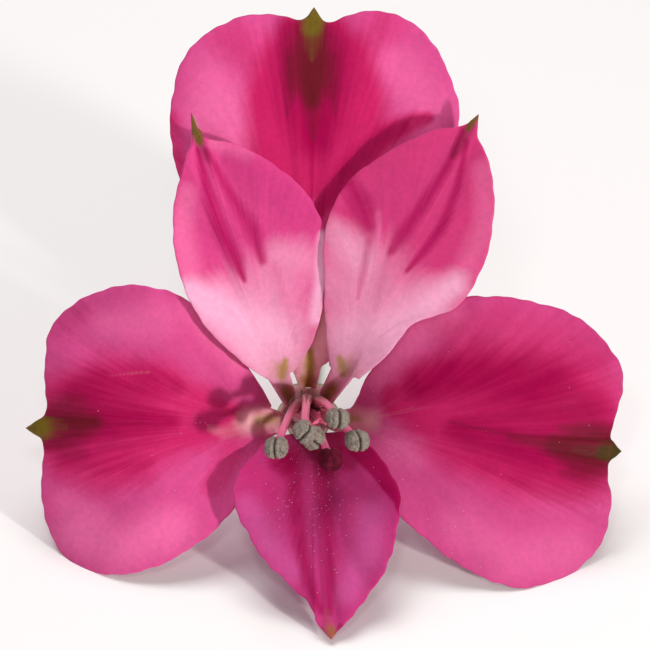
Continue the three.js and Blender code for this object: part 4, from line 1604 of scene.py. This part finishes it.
                ((-2, -6, 1.3), (-1.6, -12.3, 1.1), (-1, -17, 1), (0.2, -21.8, 0.8), (1.6, -25.4, 0.5)),
                0.7, 0.9,
            ),
            Stroke(
                DEEP,
                ((1.8, -6, 1.3), (2.2, -12.3, 1.1), (2.7, -17, 1), (2.8, -21.8, 0.8), (2.8, -25.6, 0.5)),
                0.7, 0.9,
            ),
            # painted shadows: crimson drops below the anthers
            Stroke(DEEP, ((-3.9, -6.2, 1.5), (-3.1, -6.9, 1.5)), 0.7, 0.5),
            Stroke(DEEP, ((4.6, -5.6, 1.2), (5.2, -6.6, 1.3)), 0.6, 0.5),
            Stroke(POINT, ((2.9, -28, 0.9), (2.8, -26.8, 0.9), (2.6, -25.4, 0.5)), 0.3, 1),
            Stroke(POINT, ((3, -28.9, 0.6), (3, -27.8, 0.6)), 0.6, 1),
            Stroke(FLAME, ((3.4, -28.2, 0.25), (4.3, -27.1, 0.25)), 0.6, 1),
        ),
        seed=67,
        beak=(0.3, 1.2, 1),
        scallop=0.16,
        keel=0.3,
    ),
)


# ---- Stamens, style, ovary and stalk --------------------------------------------------------------------


THREAD_SIDES = 20
FILAMENT_RINGS = 60
ANTHER_RINGS = 64
ANTHER_SIDES = 96
RIPE_RELIEF = (0.26, 0.06, 0.05)  # how deep furrow, slits and grains are, as shares of the anther's radius
UNRIPE_RELIEF = (0.1, 0, 0.01)


@dataclass(frozen=True)
class Stamen:
    """A filament with its anther.

    Attributes:
        number: the stamen's own.
        ring_deg: where the filament stands on its ring, anticlockwise from the right.
        anther: the anther's middle, in the face frame.
        furrow_deg: the way in which the furrow between its two sacs runs, anticlockwise from the right.
        ripe: whether it has opened and shows its pollen.
        ring_radius: how far from the axis the filament stands.
        bow: how far up the face it bows.
        bend_across: where it bows, as a share of the way across the face from its foot to the anther.
        bend_out: the same for the way out of the face.
        foot_radius: its radius at the foot.
        foot_length: how far up it that thins, as a share of its length.
        radius: its radius further on.
        thinning: how much of that it loses up to its end.
        swelling: how much it gains at the very end.
        half_length: the anther's, along the way in which the filament points.
        half_height: the anther's along its furrow.
        half_width: the anther's across its furrow.
        gap: between the filament's end and the anther.
        blunt: the anther's power: 2 is an ellipsoid, and more is boxier.
        furrow_width: half the width of its furrow.
        wander: how far the furrow wanders to its sides.
        wander_size: over what distance it does so.
        slit_at: how far from the furrow the slit of each sac runs.
        slit_width: half the slit's width.
        grain_sizes: how far apart the coarse and the fine grains lie.
        fine_share: how high the fine grains are, where the coarse ones are 1.
        taper: how much narrower an unripe anther is at its far end, and how much wider at its foot.
    """

    number: int
    ring_deg: float
    anther: Place
    furrow_deg: float
    ripe: bool = True
    ring_radius: float = 1.45
    bow: float = 1.6
    bend_across: float = 0.3
    bend_out: float = 0.55
    foot_radius: float = 0.8
    foot_length: float = 0.3
    radius: float = 0.54
    thinning: float = 0.1
    swelling: float = 0.25
    half_length: float = 1.75
    half_height: float = 1.3
    half_width: float = 1.5
    gap: float = 0.1
    blunt: float = 2.5
    furrow_width: float = 0.2
    wander: float = 0.12
    wander_size: float = 2.2
    slit_at: float = 0.8
    slit_width: float = 0.13
    grain_sizes: tuple[float, float] = (0.55, 0.26)
    fine_share: float = 0.6
    taper: float = 0.2

    def line(self) -> tuple[Array, Array]:
        """The filament's middle line.

        Returns:
            Its points from foot to end, on a bowed line, and the direction in which the anther points.
        """
        angle = math.radians(self.ring_deg)
        foot = np.array([self.ring_radius * math.cos(angle), self.ring_radius * math.sin(angle), FOOT_GAP])
        middle = np.array(self.anther)
        bend = foot + self.bend_across * (middle - foot) + [0, self.bow, 0]
        bend[2] = foot[2] + self.bend_out * (middle[2] - foot[2])
        aim = unit(middle - bend)
        end = middle - aim * (self.half_length + self.gap)
        return bowed(foot, bend, end, np.linspace(0, 1, FILAMENT_RINGS)), aim

    def filament(self, material: bpy.types.Material) -> bpy.types.Object:
        """Builds the filament.

        Args:
            material: its finish.

        Returns:
            The piece: a tube whose thick foot thins by a bell curve, and whose end swells a little where the
            anther sits.
        """
        line, _ = self.line()
        share = np.linspace(0, 1, FILAMENT_RINGS)[:, None]
        foot = (self.foot_radius - self.radius) * np.exp(-((share / self.foot_length) ** 2))
        swell = self.swelling * np.exp(-(((share - 1) / 0.05) ** 2))
        radius = foot + self.radius * (1 - self.thinning * share + swell)
        points, faces, uv = tube(line, radius * np.ones((1, THREAD_SIDES)))
        name = f"filament_{self.number}"
        return Skin(FACE.placed(points), faces, uv).piece(f"{name}_skin", name, material)

    def aimed(self, points: Array) -> Array:
        """Turns an anther that was made upright.

        Args:
            points: its vertices, with its furrow along x and its length along z.

        Returns:
            The vertices in the face frame, with the furrow turned and the length along the filament's aim.
        """
        turn = math.radians(self.furrow_deg)
        spin = np.array([[math.cos(turn), math.sin(turn)], [-math.sin(turn), math.cos(turn)]])
        spun = np.hstack([points[:, :2] @ spin, points[:, 2:]])
        _, aim = self.line()
        side = unit(np.cross([0.0, 1.0, 0.0], aim))
        return spun @ np.stack([side, np.cross(aim, side), aim]) + np.array(self.anther)

    def head(self, material: bpy.types.Material) -> bpy.types.Object:
        """Builds the anther.

        The radius in each direction is that of a blunt superellipsoid. A furrow runs round it lengthwise
        between its two sacs, a shallower slit along each sac, both as bell curves, and grains roughen it.

        Args:
            material: its finish.

        Returns:
            The piece.
        """
        around, faces, uv = globe(ANTHER_RINGS, ANTHER_SIDES)
        sizes = np.array([self.half_height, self.half_width, self.half_length])
        spots = around * sizes
        radius = np.sum(np.abs(around / sizes) ** self.blunt, axis=1) ** (-1 / self.blunt)
        across = radius * around[:, 1] - self.wander * lumps(spots, self.wander_size, self.number + 20)
        furrow = np.exp(-((across / self.furrow_width) ** 2))
        slit = np.exp(-(((np.abs(across) - self.slit_at) / self.slit_width) ** 2))
        coarse, fine = (lumps(spots, size, self.number + 9 * i) for i, size in enumerate(self.grain_sizes))
        grains = coarse + self.fine_share * fine
        deep, split, rough = RIPE_RELIEF if self.ripe else UNRIPE_RELIEF
        points = around * (radius * (1 - deep * furrow - split * slit + rough * grains))[:, None]
        if not self.ripe:
            points[:, :2] *= 1 - self.taper * points[:, 2:] / self.half_length
        name = f"anther_{self.number}"
        marks = {"marks_0": np.stack([furrow, slit, np.zeros_like(slit)], axis=1)}
        skin = Skin(FACE.placed(self.aimed(points)), faces, uv, marks)
        return skin.piece(f"{name}_skin", name, material)


STAMENS = (
    Stamen(1, 150, (-4, -4.5, 26.5), 90),
    Stamen(2, 95, (-0.4, -2.5, 28.5), 45),
    Stamen(3, 210, (0.7, -3.3, 23.3), 135),
    Stamen(4, 40, (3.8, -0.8, 26), 85),
    Stamen(5, 340, (6.3, -3.6, 25.5), 95),
    Stamen(6, 280, (2.9, -6.2, 21.5), 90, ripe=False),
)


@dataclass(frozen=True)
class Style:
    """The style with the three branches of its stigma.

    Attributes:
        stigma: where the style ends, in the face frame.
        bow: how far up the face it bows.
        radius: the style's.
        rings: how many rings it has.
        branch_radius: a branch's at its foot.
        branch_rings: how many rings a branch has.
        branch_reach: how far to the side a branch ends.
        branch_rise: how far above the style's end it ends.
        branch_sunk: how deep its foot is sunk in the style, and how far above the style's end it bends.
    """

    stigma: Place = (1.45, -1.1, 12.4)
    bow: float = 0.6
    radius: float = 0.45
    rings: int = 50
    branch_radius: float = 0.3
    branch_rings: int = 16
    branch_reach: float = 1.05
    branch_rise: float = 1.2
    branch_sunk: float = 0.6

    def build(self, material: bpy.types.Material) -> bpy.types.Object:
        """Builds the style as one piece.

        Args:
            material: its finish.

        Returns:
            The piece: a tube from the ovary's top to the stigma, and three tapering ones that bow out of its
            end, with their feet sunk in it.
        """
        foot, top = np.array([0, 0, FOOT_GAP]), np.array(self.stigma)
        bend = (foot + top) / 2 + np.array([0, self.bow, 0])
        share = np.linspace(0, 1, self.rings)
        threads = [(bowed(foot, bend, top, share), self.radius * (1.1 - 0.15 * share))]
        share = np.linspace(0, 1, self.branch_rings)
        for angle in np.radians([90, 210, 330]):
            out = self.branch_reach * np.array([math.cos(angle), math.sin(angle), 0])
            start, end = top - [0, 0, self.branch_sunk], top + out + [0, 0, self.branch_rise]
            bend = top + out / 4 + [0, 0, self.branch_sunk]
            threads.append((bowed(start, bend, end, share), self.branch_radius * (1 - 0.5 * share**2)))
        points, faces, uvs = [], [], []
        for line, radius in threads:
            made, sides, uv = tube(line, radius[:, None] * np.ones((1, THREAD_SIDES)))
            first = sum(len(p) for p in points)
            points.append(made)
            faces += [side + first for side in sides]
            uvs.append(uv)
        skin = Skin(FACE.placed(np.vstack(points)), faces, np.vstack(uvs))
        return skin.piece("style_skin", "style", material)


@dataclass(frozen=True)
class OvaryAndStalk:
    """The ribbed ovary and the flower's own stalk, grown in one piece.

    Attributes:
        radius: the ovary's at its top, without its ribs.
        length: the ovary's.
        belly: how much it swells below its top, as a share of the radius.
        ribs: how many ribs run down it.
        rib_depth: how high they stand, as a share of the radius.
        lines: how many fine lines run down ovary and stalk.
        line_depth: how high those stand, as a share of the radius.
        stalk_radius: the stalk's.
        waver: how much the radius wavers along it, as a share.
        waver_lengths: the wave lengths of that.
        blush_size: how far apart its reddish clouds lie.
        seed: of the wavering and the clouds.
        brim: how high the outer part of the dished top stands above its edge.
        stalk_line: the stalk's middle, in the part's frame.
        sides: how many sides it has all round.
        ovary_rings: how many rings the ovary has.
        stalk_rings: how many the stalk has.
        top_rings: how many close the top.
        cut_rings: how many close the cut end.
        cut_step: how far apart those lie, so that no two are in one plane.
        blushing_rings: how many of the first are reddish.
    """

    radius: float = 3.3
    length: float = 8
    belly: float = 0.09
    ribs: int = 6
    rib_depth: float = 0.09
    lines: int = 18
    line_depth: float = 0.012
    stalk_radius: float = 1.2
    waver: float = 0.02
    waver_lengths: tuple[float, ...] = (5.1, 8.7, 13.9)
    blush_size: float = 14
    seed: int = 5
    brim: float = 0.45
    stalk_line: tuple[Place, ...] = (
        (-2.1, 2.1, 2.6), (-2, 7, 1.7), (-1.4, 17, 2), (0, 29, 1.9), (1.4, 40, 1.45), (2.2, 49, 1.1),
    )
    sides: int = 96
    ovary_rings: int = 70
    stalk_rings: int = 130
    top_rings: int = 12
    cut_rings: int = 8
    cut_step: float = 1e-3
    blushing_rings: int = 20

    def middle(self) -> tuple[Array, Array, float]:
        """The middle line, through points on the flower's axis and then along the stalk.

        Returns:
            Its points from the ovary's top to the cut end, the share of its length at which each lies, and
            that length.
        """
        down = np.array([0, 0.3, 0.6, 1])[:, None] * self.length * FACE.turned(np.array([0.0, 0.0, 1.0]))
        knots = np.vstack([np.array(FACE.centre) - down, np.array(self.stalk_line)])
        dense = through(knots, np.linspace(0, len(knots) - 1, 2000))
        whole = float(np.sum(np.linalg.norm(np.diff(dense, axis=0), axis=1)))
        neck = self.length / whole
        ovary = np.linspace(0, neck, self.ovary_rings, endpoint=False)
        share = np.r_[ovary, np.linspace(neck, 1, self.stalk_rings)]
        return even_points(dense, share), share, whole

    def girth(self, share: Array, whole: float, angle: Array) -> Array:
        """The radius of each ring on each side.

        Args:
            share: where each ring lies on the middle line.
            whole: the line's length.
            angle: the direction of each side.

        Returns:
            Rings by sides. The radius swells below the ovary's top by half a sine and draws in to the stalk's
            by a smooth step. It carries ribs and fine lines that are cosines round it, and wavers along it.
        """
        down = np.minimum(1, share * whole / self.length)[:, None]
        belly = self.radius * (1 + self.belly * np.sin(math.pi * np.minimum(1, 1.6 * down)))
        full = 1 - smoothstep(down, 0.35, 1)
        ribs = self.rib_depth * full * np.cos(self.ribs * angle)
        lines = self.line_depth * np.cos(self.lines * angle + 0.6) * (1 - 0.5 * full)
        radius = (self.stalk_radius + (belly - self.stalk_radius) * full) * (1 + ribs + lines)
        return radius * (1 + self.waver * ripples(share[:, None] * whole, self.waver_lengths, self.seed))

    def build(self, material: bpy.types.Material) -> bpy.types.Object:
        """Builds the ovary and the stalk.

        Extra rings of shrinking radius close both ends: those of the top dish it, and those of the cut end
        leave it all but flat.

        Args:
            material: its finish.

        Returns:
            The piece.
        """
        line, share, whole = self.middle()
        angle = np.linspace(0, 2 * math.pi, self.sides, endpoint=False)
        radius = self.girth(share, whole, angle[None, :])
        dish = np.linspace(0.06, 0.96, self.top_rings)[:, None]
        axis = FACE.turned(np.array([0.0, 0.0, 1.0]))
        top = line[:1] + axis * self.brim * (1 - dish[::-1] ** 4)
        cap = np.linspace(0.92, 0.1, self.cut_rings)[:, None]
        end = line[-1:] + np.array([0, self.cut_step, 0]) * np.arange(1, self.cut_rings + 1)[:, None]
        line = np.vstack([top, line, end])
        points, faces, uv = tube(line, np.vstack([dish * radius[:1], radius, cap * radius[-1:]]))
        rings = np.repeat(np.arange(len(line)), self.sides)
        cut = np.r_[rings > len(line) - self.cut_rings, False, True].astype(float)
        rib = np.r_[np.tile(0.5 + 0.5 * np.cos(self.ribs * angle), len(line)), 0, 0]
        blush = smoothstep(lumps(points, self.blush_size, self.seed + 3), 0.1, 0.9) * 0.5
        blush[: self.blushing_rings * self.sides] = 1
        resting = np.maximum(points, [-np.inf, -np.inf, 0])
        skin = Skin(resting, faces, uv, {"marks_0": np.stack([rib, blush, cut], axis=1)})
        return skin.piece("ovary_and_stalk_skin", "ovary_and_stalk", material)


@dataclass(frozen=True)
class PollenDust:
    """Grains of pollen that have fallen on the tepals in front of the anthers.

    Attributes:
        counts: the number of each tepal that carries grains, and how many.
        size: a grain's least and greatest radius.
        under: where most grains lie, as u and v.
        reach: how far round that place.
        stray: how likely a grain lies anywhere else.
        clear_rows: how many of a blade's rows by its claw and by its margin carry none.
        clear_columns: how many of its columns on each side carry none.
        seed: of their places and sizes.
    """

    counts: tuple[tuple[int, int], ...] = ((5, 130), (2, 30), (1, 16))
    size: Point = (0.03, 0.065)
    under: Point = (1, -13)
    reach: float = 7
    stray: float = 0.03
    clear_rows: tuple[int, int] = (8, 6)
    clear_columns: int = 20
    seed: int = 97

    def build(self, tepals: tuple[Tepal, ...], material: bpy.types.Material) -> bpy.types.Object:
        """Strews the grains.

        Args:
            tepals: the blades that may carry them, which counts names by their number.
            material: the grains' finish.

        Returns:
            One piece: each grain is a small eight-sided globe, half sunk in the face of a blade at a seeded
            place, by a bell curve more often near the anthers.
        """
        draw = np.random.default_rng(self.seed)
        places = []
        for index, count in self.counts:
            front, _ = tepals[index].sides(tepals[index].sheet())
            rows = slice(CLAW_ROWS + self.clear_rows[0], -self.clear_rows[1])
            open_face = front[rows, self.clear_columns : -self.clear_columns].reshape(-1, 3)
            away = np.linalg.norm(open_face[:, :2] - self.under, axis=1)
            near = np.exp(-((away / self.reach) ** 2)) + self.stray
            places.append(open_face[draw.choice(len(near), count, replace=False, p=near / near.sum())])
        middles = np.vstack(places)
        around, faces, uv = globe(3, 8)
        sizes = draw.uniform(*self.size, len(middles))[:, None, None]
        points = middles[:, None] + around * sizes
        first = (np.arange(len(middles)) * len(around))[:, None, None]
        grown = [(side[None] + first).reshape(-1, side.shape[1]) for side in faces]
        marks = {"marks_0": np.zeros((len(middles) * len(around), 3))}
        skin = Skin(FACE.placed(points.reshape(-1, 3)), grown, np.tile(uv, (len(middles), 1)), marks)
        return skin.piece("fallen_pollen", "", material)


# ---- Studio ---------------------------------------------------------------------------------------------


AIM: Place = (2.2, 11.1, 16.0)  # the middle of the picture, in the face frame


@dataclass(frozen=True)
class Lamp:
    """A square soft light.

    Attributes:
        name: its name.
        towards: the direction from the flower to it, as u, v and a.
        size: its side, in metres.
        power: in watts.
        colour: its tint.
        distance: from the flower, in metres.
    """

    name: str
    towards: Place
    size: float
    power: float
    colour: str = "ffffff"
    distance: float = 0.6

    def build(self) -> bpy.types.Object:
        """Hangs the lamp and turns it to the flower."""
        data = bpy.data.lights.new(self.name, "AREA")
        data.size, data.energy, data.color = self.size, self.power, linear(self.colour)[:3]
        made = bpy.data.objects.new(self.name, data)
        away = Vector(FACE.turned(unit(np.array(self.towards))))
        made.location = Vector(FACE.placed(np.array(AIM)) * MM) + away * self.distance
        made.rotation_euler = away.to_track_quat("Z", "Y").to_euler()
        made.visible_camera = False
        bpy.context.scene.collection.objects.link(made)
        return made


@dataclass(frozen=True)
class Studio:
    """The world's light, the floor, the lamps and the camera, which looks straight down the flower's axis.

    Attributes:
        frame_width: how much the picture shows from side to side.
        lens: the camera's focal length.
        sensor: its sensor's width.
        sight: how far it sees, in metres.
        sky: how bright the world is.
        sky_tint: its colour.
        floor_side: the floor's side, in metres.
        lamps: the lamps.
    """

    frame_width: float = 83.2
    lens: float = 800.0
    sensor: float = 36.0
    sight: float = 10.0
    sky: float = 0.24
    sky_tint: str = "fff8fa"
    floor_side: float = 6.0
    lamps: tuple[Lamp, ...] = (
        Lamp("key", (0.6, -0.25, 0.76), 0.035, 2.45, "fffaf4"),
        Lamp("front", (-0.04, 0.15, 0.98), 0.05, 0.35),
        Lamp("top", (-0.1, 0.93, 0.35), 0.4, 2.55),
    )

    def world(self) -> bpy.types.World:
        """Makes the world, a sky of one colour."""
        world = bpy.data.worlds.new("sky")
        world.use_nodes = True
        background = world.node_tree.nodes["Background"]
        background.inputs["Color"].default_value = linear(self.sky_tint)
        background.inputs["Strength"].default_value = self.sky
        return world

    def floor(self) -> bpy.types.Object:
        """Lays the floor, a square round the part's origin."""
        mesh = bpy.data.meshes.new("floor")
        half = self.floor_side / 2
        corners = [(-half, -half, 0), (half, -half, 0), (half, half, 0), (-half, half, 0)]
        mesh.from_pydata(corners, [], [(0, 1, 2, 3)])
        mesh.materials.append(FloorFinish().material())
        floor = bpy.data.objects.new("floor", mesh)
        bpy.context.scene.collection.objects.link(floor)
        return floor

    def camera(self) -> bpy.types.Object:
        """Sets the camera up, so far off that it takes in the frame's width at the place it aims at."""
        data = bpy.data.cameras.new("camera")
        data.lens, data.sensor_width = self.lens, self.sensor
        data.clip_end = self.sight
        camera = bpy.data.objects.new("camera", data)
        distance = self.frame_width * self.lens / self.sensor
        camera.location = FACE.placed(np.array(AIM) + [0, 0, distance]) * MM
        camera.rotation_euler = (FACE.lean, 0, 0)
        bpy.context.scene.collection.objects.link(camera)
        return camera

    def build(self) -> None:
        """Sets up the world, the floor, the lamps and the camera."""
        scene = bpy.context.scene
        scene.view_settings.view_transform = "Standard"
        scene.world = self.world()
        self.floor()
        for lamp in self.lamps:
            lamp.build()
        scene.camera = self.camera()


def main() -> None:
    """Builds the studio and the flower, piece by piece."""
    logging.basicConfig(level=logging.INFO, format="%(message)s")
    Studio().build()
    finishes = {tepal.finish.name: tepal.finish for tepal in TEPALS}
    skins = {name: finish.material() for name, finish in finishes.items()}
    for tepal in TEPALS:
        tepal.build(skins[tepal.finish.name])
    thread, pollen, bud = ThreadFinish().material(), PollenFinish().material(), BudFinish().material()
    for stamen in STAMENS:
        stamen.filament(thread)
        stamen.head(pollen if stamen.ripe else bud)
    Style().build(thread)
    OvaryAndStalk().build(StalkFinish().material())
    PollenDust().build(TEPALS, DUST_FINISH.material())


if __name__ == "__main__":
    main()
